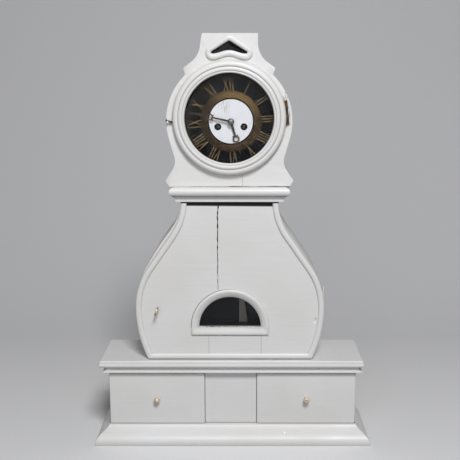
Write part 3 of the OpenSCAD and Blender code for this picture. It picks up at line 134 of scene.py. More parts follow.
print("world ready")

# %% [markdown]
# ## The floor
# The floor is one sheet that curves up into a wall behind the clock, so no edge shows. It looks
# pale. A pale floor as large as this would also light the clock from below, as the real room
# didn't, so the light that bounces off it meets a darker grey.

# %% Floor
FLOOR_FRONT, FLOOR_BACK = -9.0, 0.6
BEND_RADIUS, WALL_TOP, HALF_WIDTH = 1.4, 4.0, 12.0
bend = np.linspace(0, np.pi / 2, 25)
# The flat part ends in a row of its own, at the bend's first row, so that it is shaded flat
back = np.concatenate([[FLOOR_FRONT, FLOOR_BACK], FLOOR_BACK + BEND_RADIUS * np.sin(bend),
                       [FLOOR_BACK + BEND_RADIUS]])
rise = np.concatenate([[0.0, 0.0], BEND_RADIUS * (1 - np.cos(bend)), [WALL_TOP]])
edges = [np.stack([np.full(len(back), x), back, rise], -1) for x in (-HALF_WIDTH, HALF_WIDTH)]
count = len(back)
strip = np.arange(count - 1)
faces = np.stack([strip, strip + count, strip + count + 1, strip + 1], -1)
floor_mesh = bpy.data.meshes.new("floor")
floor_mesh.from_pydata(np.concatenate(edges), [], faces.tolist())
floor_mesh.shade_smooth()
floor = bpy.data.objects.new("floor", floor_mesh)
bpy.context.scene.collection.objects.link(floor)

floor_paint = bpy.data.materials.new("floor_paint")
floor_paint.use_nodes = True
carpet = floor_paint.node_tree
dark = carpet.nodes["Principled BSDF"]
dark.inputs["Base Color"].default_value = (0.25, 0.25, 0.25, 1)
dark.inputs["Roughness"].default_value = 0.9
pale = carpet.nodes.new("ShaderNodeBsdfDiffuse")
pale.inputs["Color"].default_value = (0.82, 0.82, 0.8282, 1)
path = carpet.nodes.new("ShaderNodeLightPath")
turned_to = carpet.nodes.new("ShaderNodeMixShader")
carpet.links.new(path.outputs["Is Diffuse Ray"], turned_to.inputs[0])
carpet.links.new(pale.outputs[0], turned_to.inputs[1])
carpet.links.new(dark.outputs[0], turned_to.inputs[2])
carpet.links.new(turned_to.outputs[0], carpet.nodes["Material Output"].inputs[0])
floor_mesh.materials.append(floor_paint)
bpy.context.scene.view_settings.view_transform = "Standard"
print("floor of", len(floor_mesh.polygons), "strips")

# %% [markdown]
# ## A way to write finishes
# A finish is a small graph of nodes. Writing every link by hand hides the idea, so a recipe
# object adds one node for each call and hands its output on. All patterns read Object
# coordinates, which are metres here, so a pattern's size can be given in real lengths.

# %% Recipes for finishes
class Recipe:
    """One material being made. Each call adds a node and returns the output to use next."""

    def __init__(self, name):
        self.material = bpy.data.materials.new(name)
        self.material.use_nodes = True
        self.tree = self.material.node_tree
        self.shader = self.tree.nodes["Principled BSDF"]
        self.end = self.tree.nodes["Material Output"]
        self.place = self.node("ShaderNodeTexCoord").outputs["Object"]
        split = self.node("ShaderNodeSeparateXYZ", self.place)
        self.x, self.y, self.z = split.outputs

    def node(self, kind, *values, **settings):
        made = self.tree.nodes.new(kind)
        for key, value in settings.items():
            setattr(made, key, value)
        for socket, value in zip(made.inputs, values):
            self.join(value, socket)
        return made

    def join(self, value, socket):
        if isinstance(value, bpy.types.NodeSocket):
            self.tree.links.new(value, socket)
        elif value is not None:
            socket.default_value = value

    def calc(self, operation, a, b=0.0):
        return self.node("ShaderNodeMath", a, b, operation=operation).outputs[0]

    def plus(self, a, b):
        return self.calc("ADD", a, b)

    def minus(self, a, b):
        return self.calc("SUBTRACT", a, b)

    def times(self, product, *others):
        for other in others:
            product = self.calc("MULTIPLY", product, other)
        return product

    def noise(self, size, stretch=(1, 1, 1), detail=4, rough=0.5):
        """Noise whose grains are about size metres across, longer along an axis by stretch."""
        scale = tuple(1 / (size * s) for s in stretch)
        moved = self.node("ShaderNodeMapping", self.place)
        moved.inputs["Scale"].default_value = scale
        made = self.node("ShaderNodeTexNoise", moved.outputs[0])
        made.inputs["Scale"].default_value = 1
        made.inputs["Detail"].default_value = detail
        made.inputs["Roughness"].default_value = rough
        return made.outputs[0]

    def ramp(self, value, low, high, to_low=0.0, to_high=1.0):
        """A straight slope: to_low at low, to_high at high, and flat outside."""
        return self.node("ShaderNodeMapRange", value, low, high, to_low, to_high).outputs[0]

    def mix(self, share, a, b):
        """The colour a where share is 0, and b where it is 1."""
        made = self.tree.nodes.new("ShaderNodeMix")
        made.data_type = "RGBA"
        self.join(share, made.inputs[0])
        self.join(a, made.inputs[6])
        self.join(b, made.inputs[7])
        return made.outputs[2]

    def bump(self, height, depth, share=1.0, base=None):
        """Turns a 0 to 1 height into a slope, where 1 stands depth metres proud."""
        made = self.node("ShaderNodeBump")
        made.inputs["Strength"].default_value = share
        made.inputs["Distance"].default_value = depth
        self.join(height, made.inputs["Height"])
        self.join(base, made.inputs["Normal"])
        return made.outputs[0]

    def reach(self, x, z):
        """How far a point lies to the right of x, above z, and by Pythagoras from both."""
        dx = self.minus(self.x, x)
        dz = self.minus(self.z, z)
        return dx, dz, self.calc("SQRT", self.plus(self.times(dx, dx), self.times(dz, dz)))

    def finish(self, **sockets):
        for key, value in sockets.items():
            self.join(value, self.shader.inputs[key.replace("_", " ")])
        return self.material


def rgb(red, green, blue):
    """A screen colour, 0 to 255, as the linear colour that the shader expects."""
    part = np.array([red, green, blue]) / 255
    line = np.where(part < 0.04045, part / 12.92, ((part + 0.055) / 1.055) ** 2.4)
    return (*line.tolist(), 1.0)


print("a middle grey is", round(rgb(128, 128, 128)[0], 3), "in linear light")

# %% [markdown]
# ## The paint
# Old brushed oil paint isn't one colour. It is warm where it has yellowed, greyer where dust
# sits, and it keeps the brush's fine ridges. Three noises make it: a broad one for colour, a long
# thin one for the brush, and a small one for the grain under the paint. Ambient occlusion finds
# the deep corners and paints them a brownish grey, which stands for dirt and for painted shade. A
# bevel node rounds the light on every hard edge, and where it turns away from the true surface,
# the paint is lightened as a painted highlight.

# %% Paint
def paint(name, brush, tone=1.0, marks=(), dirt_and_shade=0.55, gloss=0.5):
    """Grey-white paint. brush is how much longer the ridges are along x, y and z, and tone
    multiplies the colour. dirt_and_shade is how much the deepest corners are darkened, as dirt and
    as painted shade. gloss is how strongly the paint mirrors."""
    r = Recipe(name)
    broad = r.noise(0.11, detail=3)
    ridges = r.noise(0.0016, brush, detail=3, rough=0.6)
    grain = r.noise(0.004, brush, detail=5, rough=0.7)
    light = rgb(*(np.array([227, 227, 228]) * tone))
    warm = rgb(*(np.array([223, 222, 220]) * tone))
    grey = rgb(*(np.array([213, 213, 216]) * tone))
    colour = r.mix(r.ramp(broad, 0.35, 0.65), light, warm)
    colour = r.mix(r.ramp(grain, 0.5, 0.8, 0.0, 0.5), colour, grey)
    edge = r.node("ShaderNodeBevel", samples=4)
    edge.inputs["Radius"].default_value = 0.0009
    face = r.node("ShaderNodeNewGeometry").outputs["Normal"]
    alike = r.node("ShaderNodeVectorMath", edge.outputs[0], face, operation="DOT_PRODUCT")
    # Where the bevel's rounded normal turns from the face's, the colour is lightened: a painted highlight
    # along the edges.
    edge_highlight = r.ramp(alike.outputs["Value"], 0.99, 0.9, 0.0, 0.6)
    colour = r.mix(edge_highlight, colour, rgb(243, 243, 243))
    # Ambient occlusion darkens the deepest corners to a brownish grey: painted shade, and dirt.
    shade = r.node("ShaderNodeAmbientOcclusion", samples=6)
    shade.inputs["Distance"].default_value = 0.006
    dirt_and_shade_share = r.ramp(shade.outputs["AO"], 0.25, 0.85, dirt_and_shade, 0.0)
    colour = r.mix(dirt_and_shade_share, colour, rgb(142, 134, 122))
    hollow = None
    for mark in marks:
        share, stain = mark(r)
        colour = r.mix(share, colour, stain)
        hollow = share if hollow is None else r.calc("MAXIMUM", hollow, share)
    height = r.plus(r.times(ridges, 0.5), r.times(grain, 0.5))
    normal = r.bump(height, 0.00022, 0.8, edge.outputs[0])
    if hollow is not None:
        normal = r.bump(r.minus(1.0, hollow), 0.0006, 0.6, normal)
    rough = r.ramp(broad, 0.3, 0.7, 0.32, 0.46)
    return r.finish(Base_Color=colour, Roughness=rough, Normal=normal, Specular_IOR_Level=gloss)


ALONG_X, ALONG_Z = (30, 1, 1), (1, 1, 30)
paint_plain = paint("paint_plain", ALONG_X)
paint_level = paint("paint_level", ALONG_X, 0.99)
paint_upright = paint("paint_upright", ALONG_Z)
# The drawer fronts get little of the painted shade and dirt in their corners.
paint_drawer = paint("paint_drawer", ALONG_X, 0.99, dirt_and_shade=0.1)
print("plain paints ready")

# %% [markdown]
# ## Cracks, chips and painted shade
# Each board has shrunk and been knocked in its own way. A few marks are painted shade and painted
# highlights instead. These marks could be cut into the meshes, but most are finer than the paint
# is thick. So each mark is a function that draws on the paint: it returns how much of each point
# is marked, from 0 to 1, and the colour there. The paint mixes that colour in and sinks the marked
# places a little. All lengths are metres.

# %% Marks in the paint
def crack(x, z0, z1, width, stain, gaps=0.0, wide=None):
    """A thin upright line at x between z0 and z1, which wanders a little and may be broken.
    Where wide is given, the line opens from width at z0 to wide at z1, is ragged by a noise,
    and leans to the right at the top of the waist."""
    def draw(r):
        wander = r.times(r.minus(r.noise(0.03, detail=2), 0.5), 0.0016)
        if wide:
            ragged = r.minus(r.noise(0.006, detail=3), 0.5)
            wander = r.plus(wander, r.times(ragged, 0.0022))
            wander = r.plus(wander, r.ramp(r.z, 0.436, 0.459, 0.0, 0.0018))
        off = r.calc("ABSOLUTE", r.minus(r.minus(r.x, x), wander))
        if wide:
            uneven = r.ramp(r.noise(0.009, detail=3), 0.3, 0.6, 0.4, 1.3)
            open_to = r.times(r.ramp(r.z, z0, z1, width, wide), uneven)
            inside = r.ramp(r.calc("DIVIDE", off, open_to), 0.6, 1.0, 1.0, 0.0)
        else:
            inside = r.ramp(off, width * 0.4, width, 1.0, 0.0)
        low = r.ramp(r.z, z0 - 0.001, z0)
        high = r.ramp(r.z, z1, z1 + 0.001, 1.0, 0.0)
        share = r.times(inside, low, high)
        if gaps:
            share = r.times(share, r.ramp(r.noise(0.012), gaps, gaps + 0.08))
        return share, stain
    return draw


def shadow_band(z_left, z_right, soft, stain):
    """Painted shadow on the door's front, above a line that runs from z_left to z_right over
    0.15 metres.
    """
    def draw(r):
        line = r.ramp(r.x, -0.08, 0.07, z_left, z_right)
        above = r.ramp(r.minus(r.z, line), -soft * 0.5, soft * 0.5)
        return r.times(above, r.ramp(r.y, -0.0432, -0.0428, 1.0, 0.0)), stain
    return draw


def seam(z, height, stain, left, right):
    """Painted shade in a ragged level gap above z. It is height metres tall from right on, and
    closed left of left.
    """
    def draw(r):
        opening = r.ramp(r.x, left, right, 0.15, 1.0)
        uneven = r.ramp(r.noise(0.025, detail=4), 0.3, 0.7, 0.4, 1.5)
        top = r.plus(z, r.times(opening, uneven, height))
        return r.ramp(r.minus(r.z, top), -0.0002, 0.0002, 1.0, 0.0), stain
    return draw


def chip(x, z, reach, grain, stain, amount):
    """A flaky spot round x and z, where a noise is above amount. Most spots are chips where paint
    has come off; two on the door are a painted highlight and a painted shade line on a small bump."""
    def draw(r):
        away = r.reach(x, z)[2]
        near = r.ramp(away, reach * 0.5, reach, 1.0, 0.0)
        flakes = r.ramp(r.noise(grain, detail=2), amount, amount + 0.05)
        return r.times(near, flakes), stain
    return draw


def scrape(x0, x1, place, thick, stain, amount, axis="z"):
    """A ragged level line from x0 to x1, at one place along z or y, broken into dashes where a
    noise is below amount."""
    def draw(r):
        across = r.z if axis == "z" else r.y
        sway = r.times(r.minus(r.noise(0.01, detail=2), 0.5), thick * 2)
        off = r.calc("ABSOLUTE", r.minus(r.minus(across, place), sway))
        line = r.ramp(off, thick * 0.4, thick, 1.0, 0.0)
        starts = r.ramp(r.x, x0, x0 + 0.003)
        ends = r.ramp(r.x, x1 - 0.003, x1, 1.0, 0.0)
        broken = r.ramp(r.noise(0.004, detail=3), amount, amount + 0.1)
        return r.times(line, starts, ends, broken), stain
    return draw


def rim_shade_line(x, z, radius, thick, stain):
    """A painted shade line round the upper half of a circle, strong at its left and gone at its right."""
    def draw(r):
        dx, dz, away = r.reach(x, z)
        off = r.calc("ABSOLUTE", r.minus(away, radius))
        line = r.ramp(off, thick * 0.5, thick, 1.0, 0.0)
        left = r.ramp(dx, -radius * 0.6, radius * 0.3, 0.9, 0.0)
        above = r.ramp(dz, -0.002, 0.0)
        return r.times(line, left, above), stain
    return draw


print("six kinds of mark ready")

# %% [markdown]
# ## The marked boards
# The door has the most marks: a long crack that opens towards the top, a painted shadow under the
# neck, a painted shade line round the window, and, at its right edge, a small bump drawn as a
# painted highlight with a painted shade line above it. The other marks are painted shade in the
# seam over the neck, scrapes on the shelf and the window's sill, and single chips.

# %% Marked paints
dark_gap = rgb(52, 47, 41)
glue_line = rgb(160, 158, 154)
bare_and_highlight_white = rgb(250, 250, 248)
scraped = rgb(246, 246, 246)
paint_door = paint("paint_door", ALONG_X, 1.0, [
    crack(-0.0268, 0.298, 0.47, 0.0012, rgb(242, 241, 239), 0.4, 0.0026),
    crack(-0.0268, 0.298, 0.47, 0.0006, dark_gap, 0.3, 0.0016),
    # Painted shadow under the neck: a brown strip, and a near-black line where the gap lies in shade.
    shadow_band(0.4554, 0.4542, 0.0018, rgb(42, 36, 31)),
    shadow_band(0.4580, 0.4570, 0.002, rgb(14, 12, 11)),
    rim_shade_line(-0.0045, 0.2266, 0.0724, 0.0007, rgb(96, 90, 84)),
    scrape(-0.076, 0.067, 0.2110, 0.0008, rgb(84, 79, 74), 0.3),
    crack(-0.0441, 0.17, 0.2115, 0.0004, glue_line),
    crack(0.0538, 0.17, 0.2115, 0.0004, glue_line),
    # A small bump at the door's edge: a painted highlight on it, and a painted shade line above it.
    chip(0.1537, 0.2361, 0.0034, 0.0022, bare_and_highlight_white, 0.42),
    chip(0.1549, 0.2420, 0.0028, 0.002, rgb(120, 112, 104), 0.48),
], gloss=0.15)
paint_window = paint("paint_window", ALONG_X, 1.0, [
    scrape(-0.062, 0.053, 0.2262, 0.0013, rgb(208, 198, 164), 0.42),
    scrape(-0.062, 0.053, 0.2268, 0.0007, rgb(52, 44, 34), 0.5),
])
paint_shelf = paint("paint_shelf", ALONG_X, 0.99, [
    scrape(-0.240, -0.217, -0.010, 0.0016, scraped, 0.5, "y"),
    scrape(-0.238, -0.224, -0.016, 0.0010, scraped, 0.5, "y"),
])
paint_plinth = paint("paint_plinth", ALONG_X, 0.975, [
    chip(0.099, 0.021, 0.0022, 0.002, bare_and_highlight_white, 0.4),
])
paint_hood = paint("paint_hood", ALONG_X, 1.0, [
    # Painted shade in the joint between the hood and the neck moulding.
    seam(0.4905, 0.0012, dark_gap, -0.09, 0.0),
    crack(0.0185, 0.488, 0.514, 0.0004, glue_line),
    chip(0.0945, 0.652, 0.009, 0.0022, rgb(150, 146, 138), 0.56),
])
print("marked paints ready")

# %% [markdown]
# ## Metals
# Old brass is brown where it is dull and yellow where hands rub it. One colour with a scratched
# roughness would look like new metal, so a cloudy noise mixes a dull and a bright tone and makes
# the bright places smoother. The dial door's hinge is a case of its own: its leaf was painted
# over, and only the rolled part with the pin is still bare.

# %% Metals
def metal(name, dull, bright, rough, size=0.012, share=(0.35, 0.65), metallic=1.0):
    """Clouds of two tones, size metres across. share is where the noise turns to bright."""
    r = Recipe(name)
    clouds = r.noise(size, detail=5, rough=0.6)
    fine = r.noise(0.0008, detail=2)
    return r.finish(Base_Color=r.mix(r.ramp(clouds, *share), dull, bright), Metallic=metallic,
                    Roughness=r.ramp(clouds, 0.3, 0.7, rough + 0.12, rough),
                    Normal=r.bump(fine, 0.00004, 0.5))


def worn_leaf():
    """Old brown brass beyond a slanting line, and paint before it. The line lies a few
    millimetres out from the hinge's pin, along a direction that is tilted as the hinge is."""
    r = Recipe("worn_leaf")
    clouds = r.noise(0.004, detail=4, rough=0.6)
    pin_x, pin_z, tilt = 0.0980, 0.6238, math.radians(6)
    out = r.plus(r.times(r.x, math.cos(tilt)), r.times(r.z, math.sin(tilt)))
    beyond = r.minus(out, pin_x * math.cos(tilt) + pin_z * math.sin(tilt))
    bare = r.ramp(r.plus(beyond, r.times(clouds, 0.0008)), 0.0021, 0.0026, 1.0, 0.0)
    brown = r.mix(r.ramp(clouds, 0.4, 0.65), rgb(58, 44, 32), rgb(112, 88, 62))
    colour = r.mix(bare, rgb(222, 222, 221), brown)
    return r.finish(Base_Color=colour, Metallic=r.times(bare, 0.6), Roughness=0.5,
                    Normal=r.bump(clouds, 0.0002, 0.5))


brass_old = metal("brass_old", rgb(62, 45, 26), rgb(132, 102, 62), 0.4, 0.006)
brass_sooty = metal("brass_sooty", rgb(22, 18, 13), rgb(38, 30, 20), 0.6, 0.01, metallic=0.2)
brass_key = metal("brass_key", rgb(84, 68, 44), rgb(196, 182, 152), 0.46, 0.003, (0.42, 0.58), 0.45)
brass_clean = metal("brass_clean", rgb(150, 118, 66), rgb(188, 152, 92), 0.3)
hinge_worn = worn_leaf()
steel_grey = metal("steel_grey", rgb(105, 105, 104), rgb(150, 150, 150), 0.35)
steel_dark = metal("steel_dark", rgb(58, 57, 55), rgb(96, 95, 93), 0.4, metallic=0.6)
bronze_dark = metal("bronze_dark", rgb(34, 26, 20), rgb(84, 66, 50), 0.42, 0.004, metallic=0.6)
print("metals ready")

# %% [markdown]
# ## Glass
# The panes are clear with a weak mirror, and dust lies in clouds on the window's and the crest's.
# Real panes let lamplight through, which a path tracer finds only slowly, so shadow rays meet a
# plain tinted hole instead.

# %% Glass
def pane(name, tint, ior, dust=0.0, dust_tone=rgb(96, 100, 108)):
    """Clear glass for the eye, and a plain tinted hole for the light that falls through it.
    A film of dust lies on it in clouds: dust is its greatest share."""
    r = Recipe(name)
    r.shader.inputs["Base Color"].default_value = tint
    r.shader.inputs["Transmission Weight"].default_value = 1
    r.shader.inputs["Roughness"].default_value = 0.02
    r.shader.inputs["IOR"].default_value = ior
    path = r.node("ShaderNodeLightPath")
    hole = r.node("ShaderNodeBsdfTransparent")
    hole.inputs["Color"].default_value = tint
    falls = r.calc("MAXIMUM", path.outputs["Is Shadow Ray"], path.outputs["Is Diffuse Ray"])
    both = r.node("ShaderNodeMixShader", falls, r.shader.outputs[0], hole.outputs[0]).outputs[0]
    if dust:
        film_tone = r.mix(r.noise(0.003, detail=3), dust_tone, rgb(150, 150, 150))
        film = r.node("ShaderNodeBsdfDiffuse", film_tone)
        clouds = r.ramp(r.noise(0.012, detail=5, rough=0.7), 0.35, 0.7, dust * 0.2, dust)
        both = r.node("ShaderNodeMixShader", clouds, both, film.outputs[0]).outputs[0]
    r.join(both, r.end.inputs[0])
    return r.material


clear_pane = pane("clear_pane", (0.97, 0.98, 0.98, 1), 1.09)
window_pane = pane("window_pane", (0.84, 0.85, 0.88, 1), 1.1, 0.05)
crest_pane = pane("crest_pane", (0.4, 0.43, 0.47, 1), 1.08, 0.2, rgb(50, 58, 72))
print("panes ready")

# %% [markdown]
# ## Bare wood
# The insides and the back were never painted. Pine has long rings along the grain, which a noise
# stretched thirty times shows well enough at this distance. The back board is one solid that is
# seen from both sides, so its finish changes with depth: nearly black inside, as painted shade,
# and bare outside. The inner boards are nearly black too, for the same painted shade.

# %% Wood
def wood(name, dark, pale, along, inside=None):
    r = Recipe(name)
    rings = r.noise(0.006, along, detail=4, rough=0.6)
    fine = r.noise(0.0012, along, detail=2)
    colour = r.mix(r.ramp(rings, 0.35, 0.65), dark, pale)
    if inside is not None:
        colour = inside(r, colour)
    return r.finish(Base_Color=colour, Roughness=0.7, Normal=r.bump(fine, 0.0001, 0.6))


def shaded_inside(r, colour):
    """Painted shade: the back board is nearly black on its inner side, with a pale batten, and bare
    outside.
    """
    inner = r.ramp(r.y, 0.0610, 0.0614, 1.0, 0.0)
    batten = r.ramp(r.y, 0.0598, 0.0602, 1.0, 0.0)
    colour = r.mix(inner, colour, rgb(24, 24, 25))
    return r.mix(batten, colour, rgb(224, 213, 197))


pine = wood("pine", rgb(150, 112, 70), rgb(186, 148, 102), ALONG_X)
pine_upright = wood("pine_upright", rgb(128, 96, 62), rgb(160, 126, 86), ALONG_Z, shaded_inside)
# The inner boards are nearly black: painted shade.
pine_dark = wood("pine_dark", rgb(38, 37, 37), rgb(52, 51, 50), ALONG_X)
print("woods ready")

# %% [markdown]
# ## The dial's finishes
# The dial is a sheet of black iron, blotched with age, under a fretted brass ring. Its white
# centre is enamel with a few fine drips below the twelve. An image would be the usual way to
# finish a dial. Here the tone follows the distance from the middle and the direction round it,
# which keeps it sharp from near by.

# %% Dial finishes
DIAL_X, DIAL_Z = -1.8, 607.0


def from_dial_centre(r):
    """Distance from the dial's middle, and the sine and the cosine of the direction from it,
    which is up and side divided by the distance."""
    dx, dz, away = r.reach(DIAL_X / 1000, DIAL_Z / 1000)
    return away, r.calc("DIVIDE", dz, away), r.calc("DIVIDE", dx, away)


def dial_black():
    """Black iron with grey blotches, and a brown haze at the left near the rim."""
    r = Recipe("dial_black")
    away, up, side = from_dial_centre(r)
    clouds = r.noise(0.022, detail=5, rough=0.65)
    specks = r.noise(0.0015, detail=2)
    colour = r.mix(r.ramp(clouds, 0.38, 0.66), rgb(11, 11, 12), rgb(31, 31, 37))
    left = r.ramp(r.minus(r.times(up, 0.6), side), 0.2, 1.1)
    haze = r.times(r.ramp(away, 0.056, 0.08), left)
    colour = r.mix(r.times(haze, 0.4), colour, rgb(48, 44, 39))
    return r.finish(Base_Color=colour, Roughness=0.5, Normal=r.bump(specks, 0.0001, 0.4),
                    Specular_IOR_Level=0.05)


def dial_brass():
    """Brown old brass. The ring has painted light at the top, yellow, and painted shade at the left
    and at its outer edge. The numerals beyond it are greyer, and the rim outside them is nearly black."""
    r = Recipe("dial_brass")
    away, up, side = from_dial_centre(r)
    clouds = r.noise(0.009, detail=6, rough=0.7)
    fine = r.noise(0.0011, detail=3, rough=0.7)
    ring = r.mix(r.ramp(clouds, 0.38, 0.58), rgb(38, 28, 17), rgb(84, 66, 43))
    # Painted light: the ring is lit towards the top and a little to the right.
    lit = r.plus(up, r.times(side, 0.25))
    ring = r.mix(r.ramp(lit, 0.35, 1.0, 0.0, 0.68), ring, rgb(142, 114, 70))
    bright_specks = r.times(r.ramp(fine, 0.56, 0.7), r.ramp(clouds, 0.5, 0.7))
    ring = r.mix(bright_specks, ring, rgb(150, 128, 90))
    # Painted shade at the left, and at the ring's outer edge.
    ring = r.mix(r.ramp(side, -0.95, -0.1, 0.65, 0.0), ring, rgb(34, 26, 18))
    ring = r.mix(r.ramp(away, 0.0505, 0.0535, 0.0, 0.45), ring, rgb(36, 28, 19))
    inner_edge = r.times(r.ramp(away, 0.0433, 0.0441, 1.0, 0.0), 0.15)
    ring = r.mix(inner_edge, ring, rgb(110, 94, 70))
    strokes = r.mix(r.ramp(clouds, 0.4, 0.62), rgb(86, 71, 50), rgb(152, 130, 94))
    beyond = r.mix(r.ramp(away, 0.0758, 0.077), strokes, rgb(40, 35, 30))
    colour = r.mix(r.ramp(away, 0.0544, 0.0552), ring, beyond)
    colour = r.mix(r.ramp(fine, 0.6, 0.44, 0.0, 0.35), colour, rgb(30, 24, 18))
    return r.finish(Base_Color=colour, Metallic=0.12, Roughness=0.45, Specular_IOR_Level=0.12,
                    Normal=r.bump(r.plus(clouds, fine), 0.0005, 0.9))


def dial_white():
    """Enamel in two near whites with small specks, and upright drips left of the middle."""
    r = Recipe("dial_white")
    runs = r.noise(0.0017, (1, 1, 16), detail=3, rough=0.7)
    off = r.calc("ABSOLUTE", r.minus(r.x, -0.0125))
    near = r.ramp(off, 0.006, 0.013, 1.0, 0.0)
    upper = r.ramp(r.z, 0.614, 0.632)
    drips = r.times(r.ramp(runs, 0.5, 0.62), near, upper)
    specks = r.ramp(r.noise(0.0018, detail=4, rough=0.8), 0.6, 0.72, 0.0, 0.35)
    colour = r.mix(r.ramp(r.noise(0.02), 0.4, 0.7), rgb(236, 235, 240), rgb(228, 227, 233))
    colour = r.mix(specks, colour, rgb(198, 194, 190))
    colour = r.mix(r.times(drips, 0.8), colour, rgb(150, 143, 132))
    return r.finish(Base_Color=colour, Roughness=0.4)


black_iron = dial_black()
brass_dial = dial_brass()
enamel = dial_white()
print("dial finishes ready")

# %% [markdown]
# ## Bone for the knobs
# The drawers' knobs are bone, stained brown in the pores. One noise gives both the stain and the
# pits, because the dirt sits where the surface is open.

# %% Bone
def bone():
    """Cream bone where a fine noise is low, and brown stain where it is high."""
    r = Recipe("bone")
    stain = r.noise(0.0022, detail=4, rough=0.7)
    colour = r.mix(r.ramp(stain, 0.45, 0.62), rgb(232, 224, 204), rgb(150, 122, 88))
    return r.finish(Base_Color=colour, Roughness=0.35, Normal=r.bump(stain, 0.0002, 0.5))


knob_bone = bone()
print("bone ready")

# %% [markdown]
# ## Pieces from arrays
# Most of the clock's shapes are a profile carried along a path. A curve object with a bevel
# profile could do that, but it squeezes the profile at a sharp mitre. Here the points are worked
# out as whole arrays, one row for each place along the path, and neighbouring rows are joined by
# four-sided faces. The last row joins the first where the path closes, and otherwise each end
# gets a flat cap.

# %% Helpers for meshes
def join_rows(rows, columns, closed, start=0):
    """Quads between rows of points. Each row is a closed loop; the rows close when asked."""
    i, j = np.meshgrid(np.arange(rows if closed else rows - 1), np.arange(columns), indexing="ij")
    n, m = (i + 1) % rows, (j + 1) % columns
    quads = np.stack([i * columns + j, i * columns + m, n * columns + m, n * columns + j], -1)
    faces = (quads.reshape(-1, 4) + start).tolist()
    if not closed:
        faces.append((start + np.arange(columns))[::-1].tolist())
        faces.append((start + (rows - 1) * columns + np.arange(columns)).tolist())
    return faces


def settle(name, mesh, body, material, stands_for, sharp):
    """Shades a mesh smooth up to an angle, gives it a finish and puts it on its body."""
    mesh.shade_smooth()
    mesh.set_sharp_from_angle(angle=math.radians(sharp))
    mesh.materials.clear()
    mesh.materials.append(material)
    made = bpy.data.objects.new(name, mesh)
    bpy.context.scene.collection.objects.link(made)
    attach(made, body)
    if stands_for:
        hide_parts(*stands_for)
    return made


def piece(name, parts, body, material, stands_for, sharp):
    """Puts grids (rows, columns, 3) in millimetres, each with its closed flag, into one mesh."""
    points, faces = [], []
    for grid, closed in parts:
        rows, columns = grid.shape[:2]
        faces += join_rows(rows, columns, closed, sum(len(p) for p in points))
        points.append(grid.reshape(-1, 3) / 1000)
    mesh = bpy.data.meshes.new(name)
    mesh.from_pydata(np.concatenate(points), [], faces)
    work = bmesh.new()
    work.from_mesh(mesh)
    bmesh.ops.remove_doubles(work, verts=work.verts, dist=1e-7)
    bmesh.ops.recalc_face_normals(work, faces=work.faces)
    work.to_mesh(mesh)
    work.free()
    settle(name, mesh, body, material, stands_for, sharp)
    print(name, "has", len(mesh.polygons), "faces")


def arc(x, z, r, start, end, steps):
    """Points on a circle: centre plus r times cosine and sine of an evenly stepped angle."""
    turn = np.radians(np.linspace(start, end, steps + 1))
    return np.column_stack([x + r * np.cos(turn), z + r * np.sin(turn)])


print("a quarter circle in four steps ends at", arc(0, 0, 1, 0, 90, 4)[-1].round(3))

# %% [markdown]
# ## Mouldings round three sides
# The plinth, the moulding under the shelf and the neck run along the front and both sides, and
# meet in mitres. A profile point that stands out by some distance moves sideways by the same
# distance at each mitre, so one rule gives all three lengths. The lengths stay separate pieces
# of wood with a hair of a gap.

# %% Mouldings
BACK_Y, FACE_Y, CASE_HALF = 68.5, -44.4, 235.3
UPPER_X, UPPER_Y = -4.5, -47.4
MITRE_GAP = 0.05


def moulding(name, profile, half, line_y, middle, finish, stands_for, core=0.0):
    """Three mitred lengths of a profile (out, up): x grows by out at a mitre, y falls by out.
    core says how much deeper the front length's two inner points lie."""
    out, up = np.array(profile, float).T
    deep = out.copy()
    deep[[0, -1]] -= core
    left = np.column_stack([-half - deep + MITRE_GAP, line_y - deep, up])
    right = np.column_stack([half + deep - MITRE_GAP, line_y - deep, up])
    front = np.stack([left, right])
    nose = np.column_stack([half + out, line_y - out + 2 * MITRE_GAP, up])
    tail = np.column_stack([half + out, np.full(len(out), BACK_Y), up])
    side = np.stack([nose, tail])
    other = side * [-1, 1, 1]
    parts = [(grid + [middle, 0, 0], False) for grid in (front, side, other)]
    piece(name, parts, "case", finish, stands_for, 28)


# The plinth falls outwards in half a cosine wave, stretched towards its foot
PLINTH_OUT, PLINTH_H = 24.1, 34.2
height = np.linspace(0, PLINTH_H, 40)
wave = np.column_stack([PLINTH_OUT * (1 + np.cos(np.pi * (height / PLINTH_H) ** 1.5)) / 2, height])
moulding("plinth_run", np.vstack([[-0.75, 0], wave, [-0.75, PLINTH_H]]), CASE_HALF, FACE_Y, 0,
         paint_plinth, ["plinth_mouldings"], 11.15)
# Under the shelf: a narrow rounded edge, and a hollow that runs back under the board
cove = np.vstack([[-0.75, 139.3], [7.8, 139.3], arc(8.1, 140.0, 0.7, 270, 360, 5), [8.8, 140.8],
                  arc(8.2, 140.8, 0.6, 0, 70, 4), arc(8.8, 148.9, 7.4, 262, 180, 16),
                  [1.4, 149.7], [-0.75, 149.7]])
moulding("under_run", cove, CASE_HALF, FACE_Y, 0, paint_level, ["shelf_mouldings"], 11.15)
# The neck: a sharp lower edge, a hollow, and a half round on top
neck = np.vstack([[-21.9, 463.7], [0, 463.7], arc(6.8, 466.9, 6.8, 180, 104, 14), [3.2, 473.9],
                  arc(2.25, 482.2, 8.3, -90, 90, 28), [-21.9, 490.5]])
moulding("neck_run", neck, 98.1, -49.85, UPPER_X, paint_level, ["neck_moulding"])

# %% [markdown]
# ## The shelf
# The shelf is one board. Its front and ends are worked to a low round, a thin groove and a
# slanting band with a sharp upper edge. Each point of that profile becomes one rectangle round
# the board, and the rectangles are stacked from the underside to the top.

